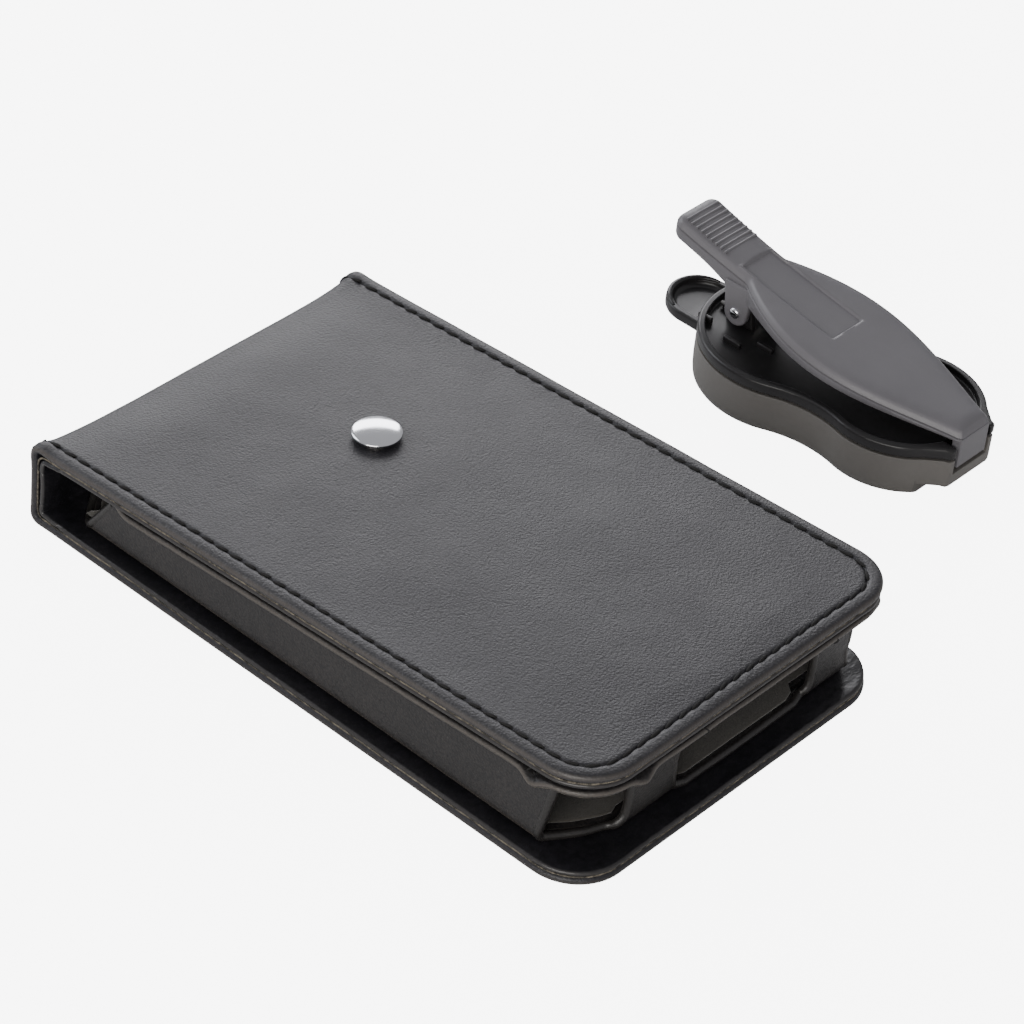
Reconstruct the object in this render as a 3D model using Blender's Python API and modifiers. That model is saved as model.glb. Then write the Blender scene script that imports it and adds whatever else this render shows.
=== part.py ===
"""Leather flip case for a pocket music player, with its detachable belt clip.

The case lies closed on its front flap and the clip lies beside it, as put down on a table.
X runs along the case from the spine to the free end, Y across it, Z up.
The origin is the middle of the flap's outer face, on the table.
"""
import math

import bmesh
import bpy
from mathutils import Matrix, Vector

MM = 0.001

# Driving sizes of the case.
CASE_LENGTH = 116.0 * MM
CASE_WIDTH = 72.0 * MM
SPINE_HEIGHT = 15.3 * MM
FREE_END_HEIGHT = 21.6 * MM
CORNER_RADIUS = 9.0 * MM

# Layers of the flap and the back, outside to inside.
SKIN = 0.8 * MM
BOARD = 0.6 * MM
LINING = 0.6 * MM
LAYER_GAP = 0.3 * MM
BOARD_INSET = 3.0 * MM
FOLD_GAP = 0.3 * MM

# Pocket for the player.
FLANGE_THICKNESS = 1.2 * MM
FLANGE_WIDTH = 3.6 * MM
FLANGE_INSET = 0.5 * MM
FLANGE_START = 13.5 * MM
WALL_INSET = 1.9 * MM
WALL_THICKNESS = 1.4 * MM
SUEDE_THICKNESS = 0.6 * MM
FRAME_THICKNESS = 1.2 * MM
FRAME_CLEARANCE = 0.4 * MM
FRAME_START = 4.2 * MM
FRAME_END_INSET = 4.0 * MM
MOUTH_AT_FRAME = 11.6 * MM
MOUTH_AT_FLANGE = 16.6 * MM
WALL_END_INSET = 10.0 * MM
STRAP_INSET = 3.7 * MM
STRAP_THICKNESS = 1.2 * MM
NEAR_STRAP_INSET = 13.5 * MM
NEAR_STRAP_WIDTH = 12.0 * MM
FAR_STRAP_INSET = 6.0 * MM
FAR_STRAP_WIDTH = 10.0 * MM
SCREEN_WINDOW = (17.0 * MM, 53.0 * MM)
SCREEN_WINDOW_INSET = 10.5 * MM
WINDOW_RADIUS = 3.0 * MM
WHEEL_CENTRE = 79.0 * MM
WHEEL_RADIUS = 21.0 * MM
LINING_REVEAL = 1.0 * MM

# Stud that hangs the case from the clip.
STUD_CENTRE = (36.3 * MM, 39.7 * MM)
STUD_CAP_RADIUS = 4.1 * MM
STUD_CAP_HEIGHT = 1.1 * MM
STUD_STANDOFF = 0.9 * MM
STUD_COLLAR_RADIUS = 3.1 * MM
STUD_POST_RADIUS = 1.4 * MM
STUD_WASHER_RADIUS = 3.4 * MM
STUD_WASHER_HEIGHT = 0.6 * MM

# Driving sizes of the belt clip, whose long axis is parallel to the case's.
CLIP_AXIS_Y = 85.0 * MM
CLIP_BULGE_X = -2.0 * MM
CLIP_BULGE_RADIUS = 16.3 * MM
CLIP_NOSE_BULGE_X = 21.5 * MM
CLIP_NOSE_BULGE_RADIUS = 13.9 * MM
CLIP_WAIST_RADIUS = 20.0 * MM
CLIP_NOSE_X = 36.2 * MM
NOSE_ROOT_X = 32.0 * MM
NOSE_ROOT_HALF = 8.7 * MM
NOSE_TIP_HALF = 6.0 * MM
NOSE_UNDERSIDE = 2.2 * MM
HOUSING_TOP = 7.3 * MM
HOUSING_WALL = 1.7 * MM
HOUSING_FLOOR = 1.5 * MM
BASE_BOTTOM = 7.6 * MM
BASE_FLOOR_TOP = 8.4 * MM
RIM_TOP = 9.7 * MM
RIM_WIDTH = 1.3 * MM
SLOT_FLOOR = 4.4 * MM
SLOT_HALF = 4.6 * MM
SLOT_DEPTH = 3.6 * MM
EAR_ROOT = 0.2 * MM

# Arm: half widths along it and heights of its top and its lower edge.
ARM_TAIL_X = -26.4 * MM
ARM_THICKNESS = 3.7 * MM
ARM_TAIL_HALF = 5.0 * MM
ARM_LEAF_HALF = 10.0 * MM
ARM_NOSE_HALF = 3.9 * MM
ARM_TAIL_TOP = 23.4 * MM
ARM_NOSE_TOP = 12.6 * MM
ARM_NOSE_THICKNESS = 2.4 * MM
ARM_SAG = 1.3 * MM
LIP_LENGTH = 1.8 * MM
LIP_FLOOR_GAP = 0.9 * MM
LABEL_SPAN = (-12.0 * MM, 8.6 * MM)
LABEL_HALF = 4.2 * MM
LABEL_DEPTH = 0.4 * MM

# Pivot, spring and release latch.
PIVOT_X = -10.7 * MM
PIVOT_Z = 11.4 * MM
PIN_RADIUS = 1.0 * MM
PIN_CLEARANCE = 0.15 * MM
PIN_HALF_LENGTH = 6.0 * MM
EAR_RADIUS = 2.4 * MM
ARM_EAR = (4.4 * MM, 5.6 * MM)
BASE_EAR = (2.8 * MM, 4.0 * MM)
SPRING_WIRE = 0.35 * MM
SPRING_COIL_CLEARANCE = 0.3 * MM
SPRING_TURNS = 4
SPRING_LEG = 5.5 * MM
LOWER_LEG_ANGLE = 186.0
UPPER_LEG_ANGLE = 150.0
LATCH_BOTTOM = 4.1 * MM
LATCH_THICKNESS = 2.0 * MM
LATCH_TAB_HALF = 6.4 * MM
LATCH_TAB_REACH = 9.6 * MM
LATCH_END_X = 8.0 * MM
LATCH_CLEARANCE = 0.3 * MM
SOCKET_X = -2.0 * MM
SOCKET_RADIUS = 5.2 * MM
CATCH_HALF = 2.3 * MM
KEYHOLE_MARGIN = 0.4 * MM
CATCH_LENGTH = 5.0 * MM
LATCH_SPRING_RADIUS = 1.3 * MM
LATCH_SPRING_WIRE = 0.25 * MM
LATCH_SPRING_TURNS = 6
SPRING_STOP_X = 18.0 * MM
SPRING_STOP_THICKNESS = 1.4 * MM
SPRING_STOP_HALF = 3.0 * MM

ARC_STEPS = 8
ROUND_STEPS = 32
ARM_STEPS = 24
LEAF_START = 0.3
OVERCUT = 2.0 * MM
WELD = 0.00001

SPINE_X = -CASE_LENGTH / 2
SIDE_Y = -CASE_WIDTH / 2
PANEL_THICKNESS = SKIN + LAYER_GAP + BOARD + LAYER_GAP + LINING
SLOPE = math.atan2(FREE_END_HEIGHT - SPINE_HEIGHT, CASE_LENGTH)
FRAME_BOTTOM = PANEL_THICKNESS + FRAME_CLEARANCE
FRAME_LINING_BOTTOM = FRAME_BOTTOM + FRAME_THICKNESS + LAYER_GAP
WALL_BOTTOM = FRAME_LINING_BOTTOM + SUEDE_THICKNESS + LAYER_GAP
FRAME_END = CASE_LENGTH - FRAME_END_INSET
WALL_END = CASE_LENGTH - WALL_END_INSET
STRAP_FACE = CASE_LENGTH - STRAP_INSET
STRAP_SPANS = (
    (SIDE_Y + NEAR_STRAP_INSET, SIDE_Y + NEAR_STRAP_INSET + NEAR_STRAP_WIDTH),
    (-SIDE_Y - FAR_STRAP_INSET - FAR_STRAP_WIDTH, -SIDE_Y - FAR_STRAP_INSET),
)
SCREEN_WINDOW_HALF = CASE_WIDTH / 2 - SCREEN_WINDOW_INSET
STUD_Y = SIDE_Y + STUD_CENTRE[1]
SPRING_COIL_RADIUS = PIN_RADIUS + SPRING_COIL_CLEARANCE + SPRING_WIRE

FINISHES = {
    "leather": ((0.045, 0.043, 0.048), 0.45, 0.0),
    "lining": ((0.025, 0.024, 0.026), 0.5, 0.0),
    "board": ((0.30, 0.26, 0.20), 0.9, 0.0),
    "suede": ((0.048, 0.046, 0.038), 0.95, 0.0),
    "chrome": ((0.75, 0.76, 0.78), 0.12, 1.0),
    "steel": ((0.62, 0.61, 0.60), 0.3, 1.0),
    "clip_plastic": ((0.065, 0.062, 0.064), 0.5, 0.0),
}


def clear_scene():
    """Remove every object that the file starts with."""
    for item in list(bpy.data.objects):
        bpy.data.objects.remove(item, do_unlink=True)


def new_collection(name):
    """Add a collection to the scene."""
    made = bpy.data.collections.new(name)
    bpy.context.scene.collection.children.link(made)
    return made


def new_material(name):
    """Make a Principled material from the finish table."""
    colour, roughness, metallic = FINISHES[name]
    material = bpy.data.materials.new(name)
    material.use_nodes = True
    shader = material.node_tree.nodes["Principled BSDF"]
    shader.inputs["Base Color"].default_value = (*colour, 1.0)
    shader.inputs["Roughness"].default_value = roughness
    shader.inputs["Metallic"].default_value = metallic
    return material


def place(name, mesh, collection, material=None, parent=None, matrix=None):
    """Put a mesh in the scene as a named object under its parent."""
    item = bpy.data.objects.new(name, mesh)
    collection.objects.link(item)
    if material is not None:
        mesh.materials.clear()
        mesh.materials.append(material)
    item.parent = parent
    if matrix is not None:
        item.matrix_basis = matrix
    return item


def weld(mesh):
    """Merge a mesh's doubled points and turn its faces outwards."""
    work = bmesh.new()
    work.from_mesh(mesh)
    bmesh.ops.remove_doubles(work, verts=work.verts, dist=WELD)
    bmesh.ops.recalc_face_normals(work, faces=work.faces)
    work.to_mesh(mesh)
    work.free()
    return mesh


def curve_mesh(curve):
    """Turn a curve into a closed, welded mesh."""
    item = bpy.data.objects.new("outline", curve)
    bpy.context.scene.collection.objects.link(item)
    bpy.context.view_layer.update()
    graph = bpy.context.evaluated_depsgraph_get()
    mesh = bpy.data.meshes.new_from_object(item.evaluated_get(graph))
    bpy.data.objects.remove(item, do_unlink=True)
    return weld(mesh)


def outline_mesh(outline, low, high, holes=()):
    """Extrude a flat outline, with any holes, from one height to another."""
    curve = bpy.data.curves.new("outline", "CURVE")
    curve.dimensions = "2D"
    curve.fill_mode = "BOTH"
    curve.extrude = (high - low) / 2
    for points in (outline, *holes):
        spline = curve.splines.new("POLY")
        spline.points.add(len(points) - 1)
        for point, (x, y) in zip(spline.points, points):
            point.co = (x, y, 0.0, 1.0)
        spline.use_cyclic_u = True
    mesh = curve_mesh(curve)
    mesh.transform(Matrix.Translation((0.0, 0.0, (low + high) / 2)))
    return mesh


def profile_mesh(profile, near, far):
    """Extrude an outline drawn in X and Z from one Y to another."""
    mesh = outline_mesh(profile, -far, -near)
    mesh.transform(Matrix.Rotation(math.pi / 2, 4, "X"))
    return mesh


def box_mesh(low, high):
    """Make a box from its lowest and highest corners."""
    work = bmesh.new()
    size = Vector(high) - Vector(low)
    middle = (Vector(high) + Vector(low)) / 2
    matrix = Matrix.Translation(middle) @ Matrix.Diagonal((*size, 1.0))
    bmesh.ops.create_cube(work, size=1.0, matrix=matrix)
    mesh = bpy.data.meshes.new("box")
    work.to_mesh(mesh)
    work.free()
    return mesh


def rod_mesh(radius, start, end, steps=ROUND_STEPS):
    """Make a capped cylinder between two points."""
    start = Vector(start)
    along = Vector(end) - start
    turn = along.to_track_quat("Z", "Y").to_matrix().to_4x4()
    work = bmesh.new()
    bmesh.ops.create_cone(work, cap_ends=True, segments=steps, radius1=radius, radius2=radius,
                          depth=along.length, matrix=Matrix.Translation(start + along / 2) @ turn)
    mesh = bpy.data.meshes.new("rod")
    work.to_mesh(mesh)
    work.free()
    return mesh


def wire_mesh(points, radius):
    """Sweep a round wire along a list of points."""
    curve = bpy.data.curves.new("wire", "CURVE")
    curve.dimensions = "3D"
    curve.bevel_depth = radius
    curve.bevel_resolution = 2
    curve.use_fill_caps = True
    spline = curve.splines.new("POLY")
    spline.points.add(len(points) - 1)
    for point, place_at in zip(spline.points, points):
        point.co = (*place_at, 1.0)
    return curve_mesh(curve)


def cut(item, mesh, operation="DIFFERENCE"):
    """Cut an object with a mesh, or join the mesh to it."""
    cutter = place(item.name + "_cutter", mesh, CUTTERS, parent=item.parent)
    cutter.matrix_basis = item.matrix_basis
    cutter.hide_render = True
    cutter.display_type = "WIRE"
    modifier = item.modifiers.new(operation.title(), "BOOLEAN")
    modifier.operation = operation
    modifier.solver = "EXACT"
    modifier.object = cutter
    return item


def arc(centre_x, centre_y, radius, start, end, steps=ARC_STEPS):
    """List points along an arc, its angles in degrees."""
    angles = [math.radians(start + (end - start) * step / steps) for step in range(steps + 1)]
    return [(centre_x + radius * math.cos(a), centre_y + radius * math.sin(a)) for a in angles]


def panel_outline(start, end, half_width, radius):
    """Outline of a flap: square at the fold, rounded at the free end."""
    points = [(start, -half_width)]
    points += arc(end - radius, radius - half_width, radius, -90, 0)
    points += arc(end - radius, half_width - radius, radius, 0, 90)
    points.append((start, half_width))
    return points


def rounded_box(low, high, radius):
    """Outline of a rectangle with four round corners."""
    points = arc(high[0] - radius, low[1] + radius, radius, -90, 0)
    points += arc(high[0] - radius, high[1] - radius, radius, 0, 90)
    points += arc(low[0] + radius, high[1] - radius, radius, 90, 180)
    points += arc(low[0] + radius, low[1] + radius, radius, 180, 270)
    return points


def circle(centre_x, centre_y, radius):
    """Outline of a full circle."""
    return arc(centre_x, centre_y, radius, 0, 360, ROUND_STEPS)[:-1]


def make_flap():
    """Front flap: outer skin, stiffening board and lining, flat on the table."""
    outline = panel_outline(SPINE_X + SKIN + FOLD_GAP, -SPINE_X, CASE_WIDTH / 2, CORNER_RADIUS)
    place("flap_skin", outline_mesh(outline, 0.0, SKIN), CASE, LEATHER)
    lining_start = SPINE_X + PANEL_THICKNESS + FOLD_GAP
    lining = panel_outline(lining_start, -SPINE_X, CASE_WIDTH / 2, CORNER_RADIUS)
    low = PANEL_THICKNESS - LINING
    place("flap_lining", outline_mesh(lining, low, PANEL_THICKNESS), CASE, LINING_CLOTH)
    board = panel_outline(lining_start + BOARD_INSET, -SPINE_X - BOARD_INSET,
                          CASE_WIDTH / 2 - BOARD_INSET, CORNER_RADIUS - BOARD_INSET)
    low = SKIN + LAYER_GAP
    place("flap_board", outline_mesh(board, low, low + BOARD), CASE, CARD)


def make_spine(pivot):
    """Spine between the two folds: skin and lining."""
    half = CASE_WIDTH / 2
    low = SKIN + FOLD_GAP
    high = SPINE_HEIGHT - SKIN - FOLD_GAP
    shift = Matrix.Translation(-pivot.location)
    skin = box_mesh((SPINE_X, -half, low), (SPINE_X + SKIN, half, high))
    place("spine_skin", skin, CASE, LEATHER, pivot, shift)
    inner = SPINE_X + SKIN + LAYER_GAP
    low = PANEL_THICKNESS + FOLD_GAP
    high = SPINE_HEIGHT - PANEL_THICKNESS - FOLD_GAP
    lining = box_mesh((inner, -half, low), (inner + LINING, half, high))
    place("spine_lining", lining, CASE, LINING_CLOTH, pivot, shift)


def make_back(tilted):
    """Back panel, drawn level with its outer face at zero and tilted by its parent."""
    length = CASE_LENGTH / math.cos(SLOPE)
    half = CASE_WIDTH / 2
    skin = panel_outline(SKIN + FOLD_GAP, length, half, CORNER_RADIUS)
    place("back_skin", outline_mesh(skin, -SKIN, 0.0), CASE, LEATHER, tilted)
    lining_start = PANEL_THICKNESS + FOLD_GAP
    lining = panel_outline(lining_start, length, half, CORNER_RADIUS)
    low = -PANEL_THICKNESS
    place("back_lining", outline_mesh(lining, low, low + LINING), CASE, LINING_CLOTH, tilted)
    board = panel_outline(lining_start + BOARD_INSET, length - BOARD_INSET,
                          half - BOARD_INSET, CORNER_RADIUS - BOARD_INSET)
    low = -SKIN - LAYER_GAP - BOARD
    post_hole = circle(STUD_CENTRE[0], STUD_Y, STUD_WASHER_RADIUS + LAYER_GAP)
    place("back_board", outline_mesh(board, low, low + BOARD, [post_hole]), CASE, CARD, tilted)
    flange_top = -PANEL_THICKNESS - LAYER_GAP
    outer = panel_outline(FLANGE_START, length - FLANGE_INSET, half - FLANGE_INSET,
                          CORNER_RADIUS - FLANGE_INSET)
    inset = FLANGE_INSET + FLANGE_WIDTH
    inner = panel_outline(FLANGE_START, length - inset, half - inset, CORNER_RADIUS - inset)
    flange = outline_mesh(outer + inner[::-1], flange_top - FLANGE_THICKNESS, flange_top)
    place("pocket_flange", flange, CASE, LEATHER, tilted)


def under_flange(x, drop=0.0):
    """Height of the flange's underside above a distance from the spine, in the level frame."""
    depth = PANEL_THICKNESS + LAYER_GAP + FLANGE_THICKNESS + LAYER_GAP + drop
    return SPINE_HEIGHT + x * math.tan(SLOPE) - depth / math.cos(SLOPE)


def wall_profile(start_low, start_high, end):
    """Side view of a long pocket wall: level below, sloping with the back above."""
    return [
        (SPINE_X + start_low, WALL_BOTTOM),
        (SPINE_X + end, WALL_BOTTOM),
        (SPINE_X + end, under_flange(end)),
        (SPINE_X + start_high, under_flange(start_high)),
    ]


def make_pocket(pivot):
    """Pocket for the player: long walls, end straps and the front frame with its windows."""
    shift = Matrix.Translation(-pivot.location)
    half = CASE_WIDTH / 2
    for side, name in ((-1, "near"), (1, "far")):
        outer = half - WALL_INSET
        inner = outer - WALL_THICKNESS
        span = sorted((side * outer, side * inner))
        profile = wall_profile(MOUTH_AT_FRAME, MOUTH_AT_FLANGE, WALL_END)
        place("pocket_wall_" + name, profile_mesh(profile, *span), CASE, LEATHER, pivot, shift)
        outer = inner - LAYER_GAP
        span = sorted((side * outer, side * (outer - SUEDE_THICKNESS)))
        place("wall_lining_" + name, profile_mesh(profile, *span), CASE, SUEDE, pivot, shift)
    for name, span in zip(("near", "far"), STRAP_SPANS):
        face = SPINE_X + STRAP_FACE
        profile = [
            (face - STRAP_THICKNESS, WALL_BOTTOM),
            (face, WALL_BOTTOM),
            (face, under_flange(STRAP_FACE)),
            (face - STRAP_THICKNESS, under_flange(STRAP_FACE - STRAP_THICKNESS)),
        ]
        place("end_strap_" + name, profile_mesh(profile, *span), CASE, LEATHER, pivot, shift)
    frame_half = half - WALL_INSET
    for name, low, thickness, reveal, material in (
            ("pocket_frame", FRAME_BOTTOM, FRAME_THICKNESS, 0.0, LEATHER),
            ("frame_lining", FRAME_LINING_BOTTOM, SUEDE_THICKNESS, LINING_REVEAL, SUEDE)):
        outline = frame_outline(frame_half, reveal)
        windows = frame_windows(reveal)
        mesh = outline_mesh(outline, low, low + thickness, windows)
        place(name, mesh, CASE, material, pivot, shift)


def frame_outline(half, reveal):
    """Outline of the pocket's front frame, its four corners cut away."""
    start = SPINE_X + FRAME_START + reveal
    end = SPINE_X + FRAME_END - reveal
    mouth_cut = MOUTH_AT_FRAME - FRAME_START
    end_cut = FRAME_END - WALL_END
    side = half - reveal
    near = [(start, -side + mouth_cut), (start + mouth_cut, -side), (end - end_cut, -side),
            (end, STRAP_SPANS[0][0])]
    far = [(x, -y) for x, y in reversed(near)]
    return near + far


def frame_windows(reveal):
    """Screen window and wheel hole of the pocket's front frame."""
    low = (SPINE_X + SCREEN_WINDOW[0] - reveal, -SCREEN_WINDOW_HALF - reveal)
    high = (SPINE_X + SCREEN_WINDOW[1] + reveal, SCREEN_WINDOW_HALF + reveal)
    screen = rounded_box(low, high, WINDOW_RADIUS)
    wheel = circle(SPINE_X + WHEEL_CENTRE, 0.0, WHEEL_RADIUS + reveal)
    return [screen, wheel]


def turned_mesh(profile, steps=ROUND_STEPS):
    """Turn a closed profile of radius and height about the Z axis."""
    mesh = bpy.data.meshes.new("turned")
    points = [(radius, 0.0, height) for radius, height in profile]
    edges = [(i, i + 1) for i in range(len(points) - 1)]
    mesh.from_pydata(points, edges, [])
    item = place("turned", mesh, CUTTERS)
    screw = item.modifiers.new("Screw", "SCREW")
    screw.steps = steps
    screw.render_steps = steps
    screw.use_merge_vertices = True
    screw.merge_threshold = WELD
    graph = bpy.context.evaluated_depsgraph_get()
    made = bpy.data.meshes.new_from_object(item.evaluated_get(graph))
    bpy.data.objects.remove(item, do_unlink=True)
    return weld(made)


def make_stud(tilted):
    """Stud riveted through the back: domed cap, collar with its post, and inner washer."""
    where = Matrix.Translation((STUD_CENTRE[0], STUD_Y, 0.0))
    cap_low = STUD_STANDOFF
    dome = [(0.0, cap_low + STUD_CAP_HEIGHT)]
    steps = ARC_STEPS
    edge = 0.35 * STUD_CAP_HEIGHT
    for step in range(1, steps + 1):
        angle = math.pi / 2 * step / steps
        radius = STUD_CAP_RADIUS * math.sin(angle)
        dome.append((radius, cap_low + edge + (STUD_CAP_HEIGHT - edge) * math.cos(angle)))
    dome += [(STUD_CAP_RADIUS, cap_low), (0.0, cap_low)]
    place("stud_cap", turned_mesh(dome), CASE, CHROME, tilted, where)
    top = cap_low - LAYER_GAP
    collar_low = LAYER_GAP
    washer_low = -SKIN - LAYER_GAP - STUD_WASHER_HEIGHT
    post_low = washer_low + STUD_WASHER_HEIGHT + LAYER_GAP / 2
    collar = [(0.0, top), (STUD_COLLAR_RADIUS, top), (STUD_COLLAR_RADIUS, collar_low),
              (STUD_POST_RADIUS, collar_low), (STUD_POST_RADIUS, post_low), (0.0, post_low)]
    place("stud_collar", turned_mesh(collar), CASE, STEEL, tilted, where)
    washer = rod_mesh(STUD_WASHER_RADIUS, (0.0, 0.0, washer_low),
                      (0.0, 0.0, washer_low + STUD_WASHER_HEIGHT))
    place("stud_washer", washer, CASE, STEEL, tilted, where)
    skin = bpy.data.objects["back_skin"]
    hole = rod_mesh(STUD_POST_RADIUS + LAYER_GAP, (0.0, 0.0, -SKIN - OVERCUT), (0.0, 0.0, OVERCUT))
    hole.transform(where)
    cut(skin, hole)


def waist_arc():
    """Centre and end angles of the hollow curve between the clip's two bulges."""
    near = CLIP_BULGE_RADIUS + CLIP_WAIST_RADIUS
    far = CLIP_NOSE_BULGE_RADIUS + CLIP_WAIST_RADIUS
    span = CLIP_NOSE_BULGE_X - CLIP_BULGE_X
    along = (near ** 2 - far ** 2 + span ** 2) / (2 * span)
    across = math.sqrt(near ** 2 - along ** 2)
    start = math.degrees(math.atan2(across, along))
    end = math.degrees(math.atan2(across, along - span))
    return CLIP_BULGE_X + along, across, start, end


def clip_outline(inset, nose_inset):
    """Plan of the clip's base: two bulges, a waist and the nose block, set in by a wall."""
    centre_x, across, start, end = waist_arc()
    waist = CLIP_WAIST_RADIUS + inset
    root = math.degrees(math.asin(NOSE_ROOT_HALF / CLIP_NOSE_BULGE_RADIUS))
    upper = arc(CLIP_BULGE_X, 0.0, CLIP_BULGE_RADIUS - inset, 180, start, 2 * ARC_STEPS)
    upper += arc(centre_x, across, waist, start + 180, end + 180)[1:-1]
    upper += arc(CLIP_NOSE_BULGE_X, 0.0, CLIP_NOSE_BULGE_RADIUS - inset, end, root)
    upper.append((CLIP_NOSE_X - nose_inset, NOSE_TIP_HALF - nose_inset))
    lower = [(x, -y) for x, y in reversed(upper[1:])]
    return upper[::-1] + lower[::-1]


def make_housing(clip):
    """Housing under the base plate, which takes the stud and holds the latch."""
    outer = outline_mesh(clip_outline(0.0, 0.0), 0.0, HOUSING_TOP)
    housing = place("clip_housing", outer, CASE, PLASTIC, clip)
    hollow = outline_mesh(clip_hollow(HOUSING_WALL), HOUSING_FLOOR, HOUSING_TOP + OVERCUT)
    cut(housing, hollow)
    under = box_mesh((NOSE_ROOT_X, -CLIP_BULGE_RADIUS, -OVERCUT),
                     (CLIP_NOSE_X + OVERCUT, CLIP_BULGE_RADIUS, NOSE_UNDERSIDE))
    cut(housing, under)
    cut(housing, nose_slot())
    socket = rod_mesh(SOCKET_RADIUS, (SOCKET_X, 0.0, -OVERCUT), (SOCKET_X, 0.0, 2 * HOUSING_FLOOR))
    cut(housing, socket)
    half = LATCH_TAB_HALF + LATCH_CLEARANCE
    mouth = box_mesh((CLIP_BULGE_X - CLIP_BULGE_RADIUS - OVERCUT, -half,
                      LATCH_BOTTOM - LATCH_CLEARANCE),
                     (CLIP_BULGE_X, half, LATCH_BOTTOM + LATCH_THICKNESS + LATCH_CLEARANCE))
    cut(housing, mouth)
    stop = box_mesh((SPRING_STOP_X, -SPRING_STOP_HALF, HOUSING_FLOOR - WELD),
                    (SPRING_STOP_X + SPRING_STOP_THICKNESS, SPRING_STOP_HALF, HOUSING_TOP))
    cut(housing, stop, "UNION")


def clip_hollow(wall):
    """Plan of a hollow inside the clip's two bulges, short of the nose block."""
    centre_x, across, start, end = waist_arc()
    upper = arc(CLIP_BULGE_X, 0.0, CLIP_BULGE_RADIUS - wall, 180, start, 2 * ARC_STEPS)
    upper += arc(centre_x, across, CLIP_WAIST_RADIUS + wall, start + 180, end + 180)[1:-1]
    upper += arc(CLIP_NOSE_BULGE_X, 0.0, CLIP_NOSE_BULGE_RADIUS - wall, end, 0)
    lower = [(x, -y) for x, y in reversed(upper[1:-1])]
    return upper[::-1] + lower[::-1]


def nose_slot():
    """Slot in the nose block for the arm's lip, open at the front and above."""
    return box_mesh((CLIP_NOSE_X - SLOT_DEPTH, -SLOT_HALF, SLOT_FLOOR),
                    (CLIP_NOSE_X + OVERCUT, SLOT_HALF, RIM_TOP + OVERCUT))


def ear_profile(foot):
    """Side view of a pivot ear: round at the pin, widening to its foot."""
    side = 1 if foot > PIVOT_Z else -1
    points = arc(PIVOT_X, PIVOT_Z, EAR_RADIUS, 180, 360 if side > 0 else 0, 2 * ARC_STEPS)
    points.append((PIVOT_X + EAR_RADIUS, foot))
    points.append((PIVOT_X - EAR_RADIUS, foot))
    return points


def make_base(clip):
    """Base plate: raised rim, pivot ears and the notched lip at the nose."""
    outer = outline_mesh(clip_outline(0.0, 0.0), BASE_BOTTOM, RIM_TOP)
    base = place("clip_base", outer, CASE, PLASTIC, clip)
    cut(base, outline_mesh(clip_hollow(RIM_WIDTH), BASE_FLOOR_TOP, RIM_TOP + OVERCUT))
    cut(base, nose_slot())
    for side in (-1, 1):
        low, high = sorted((side * BASE_EAR[0], side * BASE_EAR[1]))
        cut(base, profile_mesh(ear_profile(BASE_FLOOR_TOP - EAR_ROOT), low, high), "UNION")
    bore = PIN_RADIUS + PIN_CLEARANCE
    cut(base, rod_mesh(bore, (PIVOT_X, -PIN_HALF_LENGTH, PIVOT_Z),
                       (PIVOT_X, PIN_HALF_LENGTH, PIVOT_Z)))


def arm_share(x):
    """Place along the arm, from 0 at the tail to 1 at the nose."""
    return (x - ARM_TAIL_X) / (CLIP_NOSE_X - ARM_TAIL_X)


def arm_top(x):
    """Height of the arm's top face: a straight slope with a shallow sag."""
    share = arm_share(x)
    straight = ARM_TAIL_TOP + (ARM_NOSE_TOP - ARM_TAIL_TOP) * share
    return straight - ARM_SAG * math.sin(math.pi * max(0.0, min(1.0, share)) ** 0.8)


def arm_under(x):
    """Height of the arm's lower edge, nearer the top face towards the nose."""
    thinning = (ARM_THICKNESS - ARM_NOSE_THICKNESS) * max(0.0, arm_share(x)) ** 2
    return arm_top(x) - ARM_THICKNESS + thinning


def arm_half_width(x):
    """Half width of the arm: parallel at the tail, then a leaf that narrows to the nose."""
    share = arm_share(x)
    swell = max(0.0, (share - LEAF_START) / (1.0 - LEAF_START))
    base = ARM_TAIL_HALF + (ARM_NOSE_HALF - ARM_TAIL_HALF) * share
    return base + (ARM_LEAF_HALF - ARM_NOSE_HALF) * math.sin(math.pi * swell ** 0.8) ** 1.15


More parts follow.
